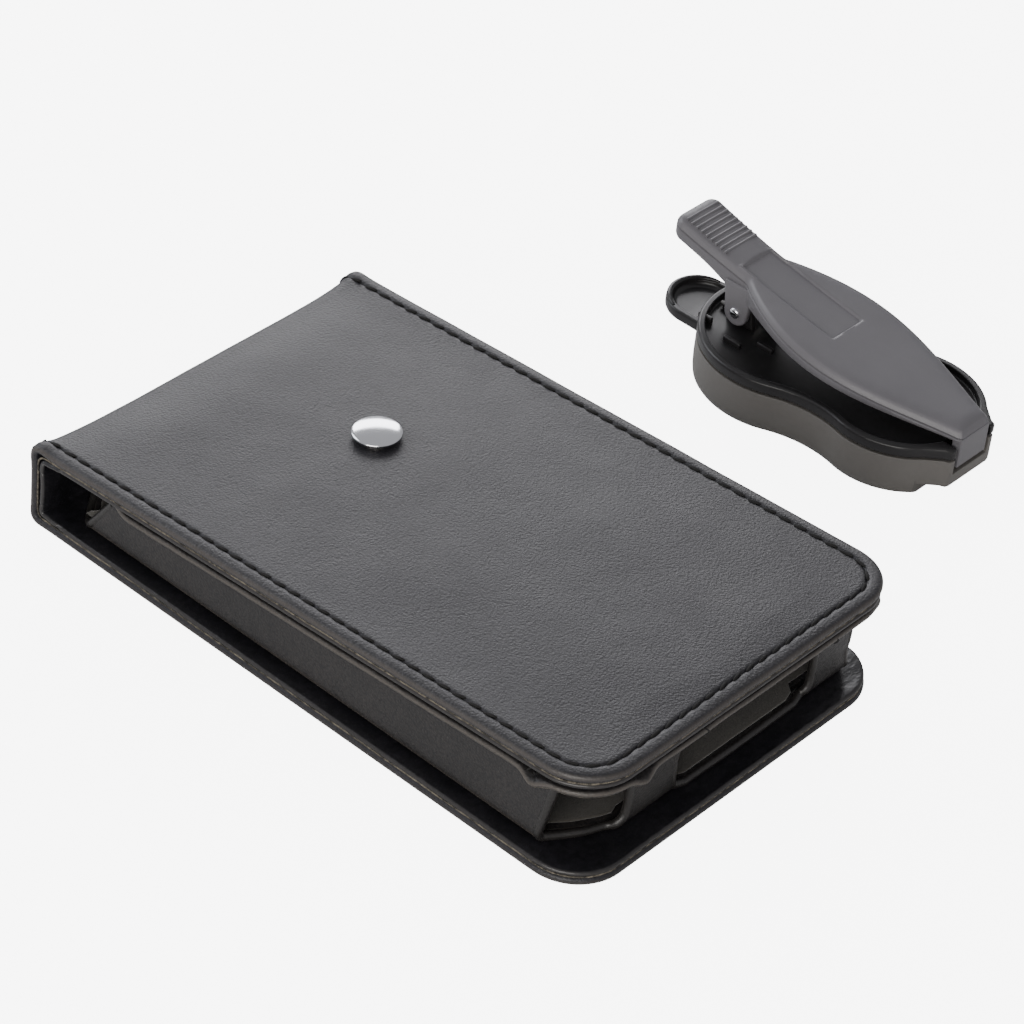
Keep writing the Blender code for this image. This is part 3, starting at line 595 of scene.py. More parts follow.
@dataclass
class Shape:
    """Points in millimetres with their faces and their wear and painted highlight."""

    points: Array
    faces: Faces
    wear_and_highlight: Array

    @staticmethod
    def doubled(outer: Array, inner: Array, faces: Faces,
                wear_and_highlight: Array | None = None) -> "Shape":
        """Close a surface with a second one behind it.

        Args:
            outer: The outer surface's points.
            inner: The points behind them.
            faces: The outer faces.
            wear_and_highlight: Wear and painted highlight of the outer points.

        Returns:
            The closed shape.
        """
        count = len(outer)
        closed = list(faces) + [tuple(i + count for i in reversed(face)) for face in faces]
        for loop in edge_loops(faces):
            for a, b in zip(loop, loop[1:] + loop[:1]):
                closed.append((b, a, a + count, b + count))
        worn_and_highlit = np.zeros(count) if wear_and_highlight is None else wear_and_highlight
        return Shape(np.vstack([outer, inner]), closed, np.concatenate([worn_and_highlit, worn_and_highlit * 0.0]))

    @staticmethod
    def sheet(points: Array, faces: Faces, thickness: float,
              rim_highlight_and_wear: float = 0.6) -> "Shape":
        """Give a surface thickness and rounded edges.

        Args:
            points: Points half way through the sheet.
            faces: Faces on them.
            thickness: The sheet's thickness.
            rim_highlight_and_wear: Wear and painted highlight at the rounded edges.

        Returns:
            The closed shape, whose edges reach half a thickness past the points.
        """
        half = thickness / 2
        normals = point_normals(points, faces)
        outer, inner = [points + half * normals], [points - half * normals]
        wear_and_highlight = [np.zeros(len(points))]
        all_faces = list(faces)
        count = len(points)
        for loop in edge_loops(faces):
            at = points[loop]
            along = np.roll(at, -1, axis=0) - np.roll(at, 1, axis=0)
            out = unit(np.cross(along, normals[loop]))
            last = list(loop)
            for degrees in (60.0, 32.0, 8.0):
                rise, reach = math.sin(math.radians(degrees)), math.cos(math.radians(degrees))
                outer.append(at + half * (rise * normals[loop] + reach * out))
                inner.append(at + half * (-rise * normals[loop] + reach * out))
                # Rounded rims are marked paler towards their outer bulge: partly wear, partly a
                # painted highlight.
                wear_and_highlight.append(np.full(len(loop), rim_highlight_and_wear * reach))
                ring = list(range(count, count + len(loop)))
                count += len(loop)
                for k in range(len(loop)):
                    n = (k + 1) % len(loop)
                    all_faces.append((last[n], last[k], ring[k], ring[n]))
                last = ring
        return Shape.doubled(np.vstack(outer), np.vstack(inner), all_faces, np.concatenate(wear_and_highlight))

    @staticmethod
    def tube(path: Array, radius: Values, sides: int, flat: float = 1.0) -> "Shape":
        """Sweep a round cord along a path.

        Args:
            path: Points of its middle.
            radius: Its radius, one number or one a point.
            sides: Sides of its section.
            flat: Height of the section against its width.

        Returns:
            The closed shape.
        """
        count = len(path)
        along = unit(np.gradient(path, axis=0))
        radii = np.broadcast_to(np.asarray(radius, float), (count,))
        up = np.array([0.0, 0.0, 1.0])
        if abs(along[0] @ up) > 0.9:
            up = np.array([1.0, 0.0, 0.0])
        points = np.zeros((count, sides, 3))
        turns = np.arange(sides) * 2 * math.pi / sides
        for i in range(count):
            side = np.cross(along[i], up)
            side /= max(np.linalg.norm(side), 1e-12)
            up = np.cross(side, along[i])
            points[i] = path[i] + radii[i] * (np.outer(np.cos(turns), side)
                                              + flat * np.outer(np.sin(turns), up))
        faces = []
        for i in range(0, (count - 1) * sides, sides):
            for j in range(sides):
                n = (j + 1) % sides
                faces.append((i + j, i + n, i + sides + n, i + sides + j))
        faces += [tuple(range(sides))[::-1], tuple(range((count - 1) * sides, count * sides))]
        flat_points = points.reshape(-1, 3)
        return Shape(flat_points, faces, np.full(len(flat_points), 0.3))

    @staticmethod
    def turned(profile: Sequence[tuple[float, float]], steps: int = 64) -> "Shape":
        """Turn a profile about the Z axis; its ends lie on the axis.

        Args:
            profile: Radius and height of each point.
            steps: Steps round.

        Returns:
            The closed shape.
        """
        points = [(0.0, 0.0, profile[0][1])]
        turns = np.arange(steps) * 2 * math.pi / steps
        for radius, height in profile[1:-1]:
            points += [(radius * math.cos(t), radius * math.sin(t), height) for t in turns]
        points.append((0.0, 0.0, profile[-1][1]))
        rings, last = len(profile) - 2, len(points) - 1
        faces: Faces = []
        for j in range(steps):
            n = (j + 1) % steps
            faces.append((0, 1 + j, 1 + n))
            faces.append((last, 1 + (rings - 1) * steps + n, 1 + (rings - 1) * steps + j))
            for i in range(rings - 1):
                a, b = 1 + i * steps, 1 + (i + 1) * steps
                faces.append((a + j, b + j, b + n, a + n))
        return Shape(np.array(points), faces, np.zeros(len(points)))

    @staticmethod
    def merged(shapes: Sequence["Shape"]) -> "Shape":
        """Put shapes together as one."""
        faces, count = [], 0
        for shape in shapes:
            faces += [tuple(i + count for i in face) for face in shape.faces]
            count += len(shape.points)
        return Shape(np.vstack([shape.points for shape in shapes]), faces,
                     np.concatenate([shape.wear_and_highlight for shape in shapes]))

    def moved(self, change: Callable[[Array], Array]) -> "Shape":
        """Move the points with a function that takes and gives all of them."""
        return Shape(change(self.points), self.faces, self.wear_and_highlight)

    def made(self, name: str, material: bpy.types.Material, crease: float = 42.0) -> Piece:
        """Make the shape a smooth-shaded object at the origin.

        Args:
            name: The object's name.
            material: Its material.
            crease: The angle in degrees past which an edge stays sharp.

        Returns:
            The object.
        """
        mesh = bpy.data.meshes.new(name)
        mesh.from_pydata((self.points * MM).tolist(), [], self.faces)
        worn_and_highlit = mesh.attributes.new("wear_and_highlight", "FLOAT", "POINT")
        worn_and_highlit.data.foreach_set("value", np.clip(self.wear_and_highlight, 0.0, 1.0).astype(np.float32))
        work = bmesh.new()
        work.from_mesh(mesh)
        bmesh.ops.dissolve_degenerate(work, edges=work.edges, dist=1e-7)
        bmesh.ops.recalc_face_normals(work, faces=work.faces)
        work.to_mesh(mesh)
        work.free()
        mesh.shade_smooth()
        mesh.set_sharp_from_angle(angle=math.radians(crease))
        mesh.materials.append(material)
        return linked(name, mesh)


def ripple(points: Array, size: float, seed: float,
           stretch: Triple = (1.0, 1.0, 1.0)) -> Array:
    """Smooth noise at many points.

    Args:
        points: Points in millimetres.
        size: Width of a ripple in millimetres.
        seed: A shift that picks another pattern.
        stretch: How many times longer the ripples are along each axis.

    Returns:
        Values from about -1 to 1.
    """
    scale = np.array([1.0 / (size * s) for s in stretch])
    shifted = points * scale + seed
    return np.array([noise.noise(Vector(p)) for p in shifted])


def smooth_step(value: Values, low: float, high: float) -> Array:
    """Rise smoothly from 0 at low to 1 at high."""
    share = np.clip((np.asarray(value, float) - low) / (high - low), 0.0, 1.0)
    return share * share * (3 - 2 * share)


def spline(points: Sequence[Sequence[float]], step: float = 0.6) -> Array:
    """Pass a smooth line through points.

    Args:
        points: The points.
        step: About how far apart the line's points are.

    Returns:
        The line's points.
    """
    given = np.asarray(points, float)
    ends = np.vstack([2 * given[0] - given[1], given, 2 * given[-1] - given[-2]])
    line = []
    for i in range(1, len(ends) - 2):
        a, b, c, d = ends[i - 1:i + 3]
        steps = max(2, int(np.linalg.norm(c - b) / step))
        for t in np.arange(steps) / steps:
            line.append(0.5 * (2 * b + (c - a) * t + (2 * a - 5 * b + 4 * c - d) * t * t
                               + (3 * b - a - 3 * c + d) * t ** 3))
    line.append(given[-1])
    return np.array(line)


class Bench:
    """Ways to finish an object with modifiers and leave a plain mesh."""

    @staticmethod
    def applied(item: Piece) -> Piece:
        """Turn an object's modifiers into its mesh.

        Args:
            item: The object.

        Returns:
            The same object, with no modifiers.
        """
        graph = bpy.context.evaluated_depsgraph_get()
        mesh = bpy.data.meshes.new_from_object(item.evaluated_get(graph))
        mesh.name = item.name
        item.modifiers.clear()
        item.data = mesh
        return item

    @staticmethod
    def carved(item: Piece, cutters: Sequence[Shape]) -> Piece:
        """Cut shapes out of an object.

        Args:
            item: The object.
            cutters: The shapes to take away.

        Returns:
            The same object.
        """
        for shape in cutters:
            tool = shape.made(item.name + "_cutter", item.data.materials[0])
            boolean = item.modifiers.new("Cut", "BOOLEAN")
            boolean.solver = "EXACT"
            boolean.object = tool
            Bench.applied(item)
            bpy.data.objects.remove(tool)
        return item

    @staticmethod
    def eased(item: Piece, width: float, segments: int = 3,
              angle: float = 40.0) -> Piece:
        """Round an object's sharp edges.

        Args:
            item: The object.
            width: The rounding's width in millimetres.
            segments: Its steps.
            angle: The angle in degrees past which an edge counts as sharp.

        Returns:
            The same object.
        """
        bevel = item.modifiers.new("Ease", "BEVEL")
        bevel.width = width * MM
        bevel.segments = segments
        bevel.limit_method = "ANGLE"
        bevel.angle_limit = math.radians(angle)
        bevel.use_clamp_overlap = True
        Bench.applied(item)
        item.data.shade_smooth()
        weigh = item.modifiers.new("Weigh", "WEIGHTED_NORMAL")
        weigh.keep_sharp = False
        return Bench.applied(item)


def resampled(loop: Array, step: float) -> Array:
    """Space a closed outline's points no further apart than a step, keeping its corners.

    Args:
        loop: The outline's points.
        step: The longest space.

    Returns:
        More points on the same outline.
    """
    points = []
    for a, b in zip(loop, np.roll(loop, -1, axis=0)):
        count = max(1, math.ceil(np.linalg.norm(b - a) / step))
        points += [a + (b - a) * k / count for k in range(count)]
    return np.array(points)


def inside(points: Array, loops: Sequence[Array]) -> Array:
    """Tell which points lie inside an outline and outside its holes.

    Args:
        points: The points, in the plane.
        loops: The outline and the holes.

    Returns:
        One truth value a point.
    """
    odd = np.zeros(len(points), bool)
    for loop in loops:
        for a, b in zip(loop, np.roll(loop, -1, axis=0)):
            if a[1] == b[1]:
                continue
            crosses = (a[1] > points[:, 1]) != (b[1] > points[:, 1])
            where = a[0] + (points[:, 1] - a[1]) / (b[1] - a[1]) * (b[0] - a[0])
            odd ^= crosses & (points[:, 0] < where)
    return odd


def plate(loops: Sequence[Array], step: float,
          ridges: Sequence[Array] = ()) -> tuple[Array, Faces]:
    """Cover the inside of an outline with even triangles.

    Args:
        loops: The outline, then its holes.
        step: Size of the triangles.
        ridges: Closed lines inside that the triangles keep to.

    Returns:
        The points in the plane and the faces, turned upwards.
    """
    rings = [resampled(np.asarray(loop, float)[:, :2], step) for loop in (*loops, *ridges)]
    border = np.vstack(rings)
    low, high = border.min(0), border.max(0)
    rows = []
    for k, y in enumerate(np.arange(low[1], high[1], step * 0.87)):
        xs = np.arange(low[0] + (k % 2) * step / 2, high[0], step)
        rows.append(np.column_stack([xs, np.full(len(xs), y)]))
    free = np.vstack(rows)
    free = free[inside(free, rings[:len(loops)])]
    gap = np.full(len(free), np.inf)
    for point in border:
        gap = np.minimum(gap, np.hypot(free[:, 0] - point[0], free[:, 1] - point[1]))
    free = free[gap > 0.55 * step]
    edges, count = [], 0
    for ring in rings:
        edges += [(count + k, count + (k + 1) % len(ring)) for k in range(len(ring))]
        count += len(ring)
    given = [Vector(p) for p in np.vstack([border, free])]
    made, _, faces, *_ = geometry.delaunay_2d_cdt(given, edges, [], 0, 1e-7)
    points = np.array([tuple(p) for p in made])
    corners = points[np.array(faces)]
    keep = inside(corners.mean(1), rings[:len(loops)])
    turn = np.cross(corners[:, 1] - corners[:, 0], corners[:, 2] - corners[:, 0])
    kept = [tuple(f) if t > 0 else tuple(f)[::-1]
            for f, ok, t in zip(faces, keep, turn) if ok and abs(t) > 1e-9]
    return points, kept


# stitches and ridges


class Repeater:
    """Node trees that repeat a small shape along lines."""

    @staticmethod
    def _started(name: str, sockets: Mapping[str, Any]) -> tuple[Tree, dict[str, Link], Kit]:
        """Start a tree with named inputs.

        Args:
            name: The tree's name.
            sockets: Each input's first value by its name, or its kind of socket.

        Returns:
            The tree, the inputs' values, and the tree with its inputs' identifiers.
        """
        group = bpy.data.node_groups.new(name, "GeometryNodeTree")
        kinds = {float: "NodeSocketFloat", int: "NodeSocketInt"}
        names = {}
        for key, value in sockets.items():
            kind = kinds.get(type(value), value)
            socket = group.interface.new_socket(key, in_out="INPUT", socket_type=kind)
            if kind is not value:
                socket.default_value = value
            names[key] = socket.identifier
        group.interface.new_socket("Mesh", in_out="OUTPUT", socket_type="NodeSocketGeometry")
        tree = Tree(group)
        given = tree.node("NodeGroupInput")
        return tree, {key: Link(group, given.outputs[key]) for key in sockets}, (group, names)

    @staticmethod
    def _closed(tree: Tree, points: Link, piece: Link, turn: Mapping[str, Link],
                material: Link) -> None:
        """Set a piece on points and end the tree in Realize Instances and Set Material.

        Args:
            tree: The tree.
            points: The points.
            piece: The piece to repeat.
            turn: The copies' rotation, where they have one.
            material: The material.
        """
        copies = tree.out("GeometryNodeInstanceOnPoints", {},
                          {"Points": points, "Instance": piece, **turn})
        real = tree.out("GeometryNodeRealizeInstances", {}, {0: copies})
        dressed = tree.out("GeometryNodeSetMaterial", {}, {"Geometry": real, "Material": material})
        tree.node("NodeGroupOutput", {}, {0: dressed})

    @classmethod
    def stitch_tree(cls) -> Kit:
        """Build the tree that sews a stitch at every pitch along the piece's lines."""
        tree, given, kit = cls._started("sewn_seam", {
            "Line": "NodeSocketGeometry", "Pitch": 3.0 * MM, "Length": 2.4 * MM,
            "Thickness": 0.6 * MM, "Slant": 0.1, "Seed": 3, "Thread": "NodeSocketMaterial"})
        curve = tree.out("GeometryNodeMeshToCurve", {}, {0: given["Line"]})
        spaced = tree.out("GeometryNodeResampleCurve", {"mode": "LENGTH"},
                          {"Curve": curve, "Length": given["Pitch"]})
        ball = tree.out("GeometryNodeMeshUVSphere", {}, {"Segments": 8, "Rings": 6, "Radius": 0.5})
        size = tree.out("ShaderNodeCombineXYZ", {}, {
            "X": given["Thickness"], "Y": given["Thickness"], "Z": given["Length"]})
        shaped = tree.out("GeometryNodeTransform", {}, {"Geometry": ball, "Scale": size})
        up = tree.out("GeometryNodeInputNamedAttribute", {"data_type": "FLOAT_VECTOR"},
                      {"Name": "up"})
        turn = tree.out("FunctionNodeAxesToRotation", {"primary_axis": "Z", "secondary_axis": "X"},
                        {"Primary Axis": tree.out("GeometryNodeInputTangent"),
                         "Secondary Axis": up})
        chance = tree.out("FunctionNodeRandomValue", {"data_type": "FLOAT"}, {
            2: given["Slant"] * 0.35, 3: given["Slant"] * 1.65, "Seed": given["Seed"]}, 1)
        lean = tree.out("FunctionNodeEulerToRotation", {},
                        {0: tree.out("ShaderNodeCombineXYZ", {}, {"X": chance})})
        leaned = tree.out("FunctionNodeRotateRotation", {"rotation_space": "LOCAL"},
                          {0: turn, 1: lean})
        cls._closed(tree, spaced, shaped, {"Rotation": leaned}, given["Thread"])
        return kit

    @classmethod
    def ridge_tree(cls) -> Kit:
        """Build the tree that lays a rounded rib across each point of the piece."""
        tree, given, kit = cls._started("ribs", {
            "Line": "NodeSocketGeometry", "Width": 6.0 * MM, "Thickness": 0.7 * MM,
            "Material": "NodeSocketMaterial"})
        start = tree.out("ShaderNodeCombineXYZ", {}, {"Y": given["Width"] * -0.5})
        end = tree.out("ShaderNodeCombineXYZ", {}, {"Y": given["Width"] * 0.5})
        line = tree.out("GeometryNodeCurvePrimitiveLine", {}, {"Start": start, "End": end})
        ring = tree.out("GeometryNodeCurvePrimitiveCircle", {},
                        {"Resolution": 12, "Radius": given["Thickness"] * 0.5})
        rod = tree.out("GeometryNodeCurveToMesh", {},
                       {"Curve": line, "Profile Curve": ring, "Fill Caps": True})
        spots = tree.out("GeometryNodeMeshToPoints", {}, {"Mesh": given["Line"]})
        cls._closed(tree, spots, rod, {}, given["Material"])
        return kit

    def __init__(self) -> None:
        """Build both trees."""
        self.stitches = self.stitch_tree()
        self.ribs = self.ridge_tree()

    @staticmethod
    def repeated(name: str, lines: Sequence[Array], ups: Sequence[Array],
                 kit: Kit, values: Mapping[str, Any]) -> Piece:
        """Run a tree on lines and keep the plain mesh.

        Args:
            name: The new object's name.
            lines: Lines of points in millimetres.
            ups: The direction that points away from the surface, at each point.
            kit: The tree and its inputs' identifiers.
            values: Input values by name.

        Returns:
            The object.
        """
        mesh = bpy.data.meshes.new(name)
        edges, count = [], 0
        for line in lines:
            edges += [(count + k, count + k + 1) for k in range(len(line) - 1)]
            count += len(line)
        mesh.from_pydata((np.vstack(lines) * MM).tolist(), edges, [])
        up = mesh.attributes.new("up", "FLOAT_VECTOR", "POINT")
        up.data.foreach_set("vector", np.vstack(ups).astype(np.float32).ravel())
        item = linked(name, mesh)
        tree, names = kit
        modifier = item.modifiers.new(name, "NODES")
        modifier.node_group = tree
        for key, value in values.items():
            modifier[names[key]] = value
        Bench.applied(item)
        item.data.shade_smooth()
        return item


# wrapped case


class Part(Enum):
    """Stretches of the wrapped case, from the back round the spine to the flap."""

    BACK = "back"
    UPPER_FOLD = "upper_fold"
    SPINE = "spine"
    LOWER_FOLD = "lower_fold"
    FLAP = "flap"


@dataclass(frozen=True)
class CaseSizes:
    """Overall sizes of the case, in millimetres, read from the frame."""

    length: float
    half_width: float
    spine_height: float
    free_height: float
    corner: float = 9.0

    @staticmethod
    def from_frame() -> "CaseSizes":
        """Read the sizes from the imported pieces.

        Returns:
            The sizes.
        """
        skin_and_gap = 1.1
        low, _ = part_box("spine_skin")
        _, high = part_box("back_skin")
        _, spine_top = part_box("spine_skin")
        return CaseSizes((high.x - low.x) / MM, high.y / MM, spine_top.z / MM + skin_and_gap,
                         high.z / MM)

    @property
    def spine_x(self) -> float:
        """Place of the spine's outer face."""
        return -self.length / 2

    @property
    def slope(self) -> float:
        """Slope of the back, in radians."""
        return math.atan2(self.free_height - self.spine_height, self.length)

    @property
    def back_length(self) -> float:
        """Length of the back along its slope."""
        return self.length / math.cos(self.slope)

    def back_z(self, x: Values, drop: float) -> Values:
        """Height of a plane a given depth under the back's outer face."""
        return (self.spine_height + (x - self.spine_x) * math.tan(self.slope)
                - drop / math.cos(self.slope))


class WrapLine:
    """Side view of one layer of the wrap: along the back, round the spine and along the flap."""

    def __init__(self, sizes: CaseSizes, depth: float, legs: tuple[float, float],
                 reaches: tuple[float, float, float, float]) -> None:
        """Lay out the line.

        Args:
            sizes: The case's sizes.
            depth: How deep the layer is under the outer face.
            legs: How far each fold's curve reaches from its corner, upper then lower.
            reaches: How far from its corner each seam lies: back, spine's top, spine's foot, flap.
        """
        slope = sizes.slope
        along = np.array([math.cos(slope), math.sin(slope)])
        out = np.array([-math.sin(slope), math.cos(slope)])
        top = (np.array([sizes.spine_x, sizes.spine_height]) - depth * out
               + depth * (1 - math.sin(slope)) / math.cos(slope) * along)
        foot = np.array([sizes.spine_x + depth, depth])
        free = np.array([sizes.spine_x, sizes.spine_height]) - depth * out + (
            sizes.back_length * along)
        down, ahead = np.array([0.0, -1.0]), np.array([1.0, 0.0])
        line = [(free, out)]
        line += self._fold(top, along, down, legs[0])
        line += self._fold(foot, -down, ahead, legs[1])
        line.append((np.array([-sizes.spine_x, depth]), np.array([0.0, -1.0])))
        self.places = np.array([place for place, _ in line])
        self.normals = np.array([normal for _, normal in line])
        steps = np.linalg.norm(np.diff(self.places, axis=0), axis=1)
        self.along = np.concatenate([[0.0], np.cumsum(steps)])
        first = self._nearest(top + along * reaches[0])
        second = self._nearest(top + down * reaches[1])
        third = self._nearest(foot - down * reaches[2])
        fourth = self._nearest(foot + ahead * reaches[3])
        self.seams = (first, second, third, fourth)
        self.upper_corner = (first + second) / 2 + (reaches[0] - reaches[1]) / 2
        self.lower_corner = (third + fourth) / 2 + (reaches[2] - reaches[3]) / 2
        self.back_reach = np.linalg.norm(free - top)
        self.total = self.along[-1]

    @staticmethod
    def _fold(corner: Array, before: Array, after: Array,
              leg: float) -> list[tuple[Array, Array]]:
        """Round a corner.

        Args:
            corner: The corner.
            before: Direction from the corner back along the line.
            after: Direction from the corner onwards.
            leg: How far the curve reaches.

        Returns:
            Points of the curve with their outward normals.
        """
        points = []
        for t in np.linspace(0.0, 1.0, 33):
            place = corner + leg * ((1 - t) ** 2 * before + t * t * after)
            pull = -(1 - t) * before + t * after
            pull = pull / np.linalg.norm(pull)
            points.append((place, np.array([pull[1], -pull[0]])))
        return points

    def _nearest(self, point: Array) -> float:
        """Distance along the line of the place on it nearest to a point."""
        best, found = np.inf, 0.0
        for k, (a, b) in enumerate(zip(self.places[:-1], self.places[1:])):
            span = b - a
            share = float(np.clip((point - a) @ span / (span @ span), 0.0, 1.0))
            gap = float(np.linalg.norm(a + share * span - point))
            if gap < best:
                best, found = gap, self.along[k] + share * float(np.linalg.norm(span))
        return found

    def lifted(self, along: Array, across: Array, height: Array) -> Array:
        """Place points on the wrap.

        Args:
            along: Distances along the line from the back's free end.
            across: Places across the case.
            height: Heights above the line.

        Returns:
            The points.
        """
        x, z = (np.interp(along, self.along, self.places[:, k]) for k in (0, 1))
        nx, nz = (np.interp(along, self.along, self.normals[:, k]) for k in (0, 1))
        return np.column_stack([x + nx * height, across, z + nz * height])

    def up(self, along: Array) -> Array:
        """Outward directions at distances along the line."""
        nx, nz = (np.interp(along, self.along, self.normals[:, k]) for k in (0, 1))
        return np.column_stack([nx, nx * 0.0, nz])

    def span(self, part: Part) -> tuple[float, float]:
        """Where a part begins and ends along the line."""
        ends = (0.0, *self.seams, self.total)
        index = list(Part).index(part)
        return ends[index], ends[index + 1]


@dataclass(frozen=True)
class PanelPlan:
    """Plan of a panel that is square at the fold and rounded at its free end."""

    reach: float
    half: float
    corner: float
    step: float = 0.9
    columns: int = 53

    def _stations(self, inset: float) -> tuple[Array, Array, Array]:
        """Rows of the grid: their places, half widths and turns round the corner."""
        straight = self.reach - self.corner
        rows = max(2, math.ceil(straight / self.step) + 1)
        turns = np.linspace(0.0, math.pi / 2, 17)[1:]
        radius = self.corner - inset
        at = np.concatenate([np.linspace(0.0, straight, rows), straight + radius * np.sin(turns)])
        half = np.concatenate([np.full(rows, self.half - inset),
                               self.half - self.corner + radius * np.cos(turns)])
        return at, half, np.concatenate([np.zeros(rows), turns])

    def grid(self, inset: float) -> tuple[Array, int]:
        """Points of the grid inside an inset, row by row, and how many rows there are."""
        at, half, _ = self._stations(inset)
        shares = np.linspace(-1.0, 1.0, self.columns)
        points = np.stack([np.repeat(at[:, None], self.columns, 1),
                           half[:, None] * shares[None, :]], axis=2)
        return points.reshape(-1, 2), len(at)

    def loop(self, inset: float) -> Array:
        """Points along the three free sides at an inset."""
        at, half, _ = self._stations(inset)
        near = np.column_stack([at, -half])
        shares = np.linspace(-1.0, 1.0, self.columns)[1:-1]
        end = np.column_stack([np.full(len(shares), self.reach - inset),
                               (self.half - self.corner) * shares])
        far = np.column_stack([at, half])[::-1]
        return np.vstack([near, end, far])

    def loop_numbers(self, rows: int) -> list[int]:
        """Numbers of the grid's points along the three free sides."""
        last = (rows - 1) * self.columns
        near = [i * self.columns for i in range(rows)]
        end = [last + j for j in range(1, self.columns)]
        far = [i * self.columns + self.columns - 1 for i in range(rows - 2, -1, -1)]
        return near + end + far


def hem_table(thick: float) -> Array:
    """Section of the turned edge.

    Args:
        thick: The leather's thickness.

    Returns:
        Rows of outer inset, outer height, inner inset, inner height and wear with a painted
        highlight line.
    """
    roll = 0.75
    rows = [(4.4, 0.0, 0.0), (3.4, 0.01, 0.0), (2.95, 0.0, 0.0), (2.75, -0.09, 0.0),
            (2.55, -0.3, 0.0), (2.35, -0.09, 0.0), (2.1, 0.04, 0.0), (1.8, 0.08, 0.0),
            (1.45, 0.09, 0.03), (1.0, 0.04, 0.08)]
    table = [(d, h, d, -thick + h * 0.3, w) for d, h, w in rows]
    for degrees in (74, 54, 34, 14, -8, -30, -52, -74):
        c, s = math.cos(math.radians(degrees)), math.sin(math.radians(degrees))
        # The roll is marked palest near its crest: partly wear, partly a painted highlight line.
        wear_and_highlight = max(0.0, 1.0 - abs(degrees - 24) / 50)
        inner = roll - thick
        table.append((roll - roll * c, -roll + roll * s, roll - inner * c, -roll + inner * s,
                      wear_and_highlight))
    table += [(1.6, -1.5, 1.6, -1.05, 0.0), (2.8, -1.5, 2.8, -1.05, 0.0)]
    return np.array(table)


def above_table(points: Array) -> Array:
    """Lift the points that would sink into the table."""
    return np.column_stack([points[:, :2], np.maximum(points[:, 2], 0.0)])


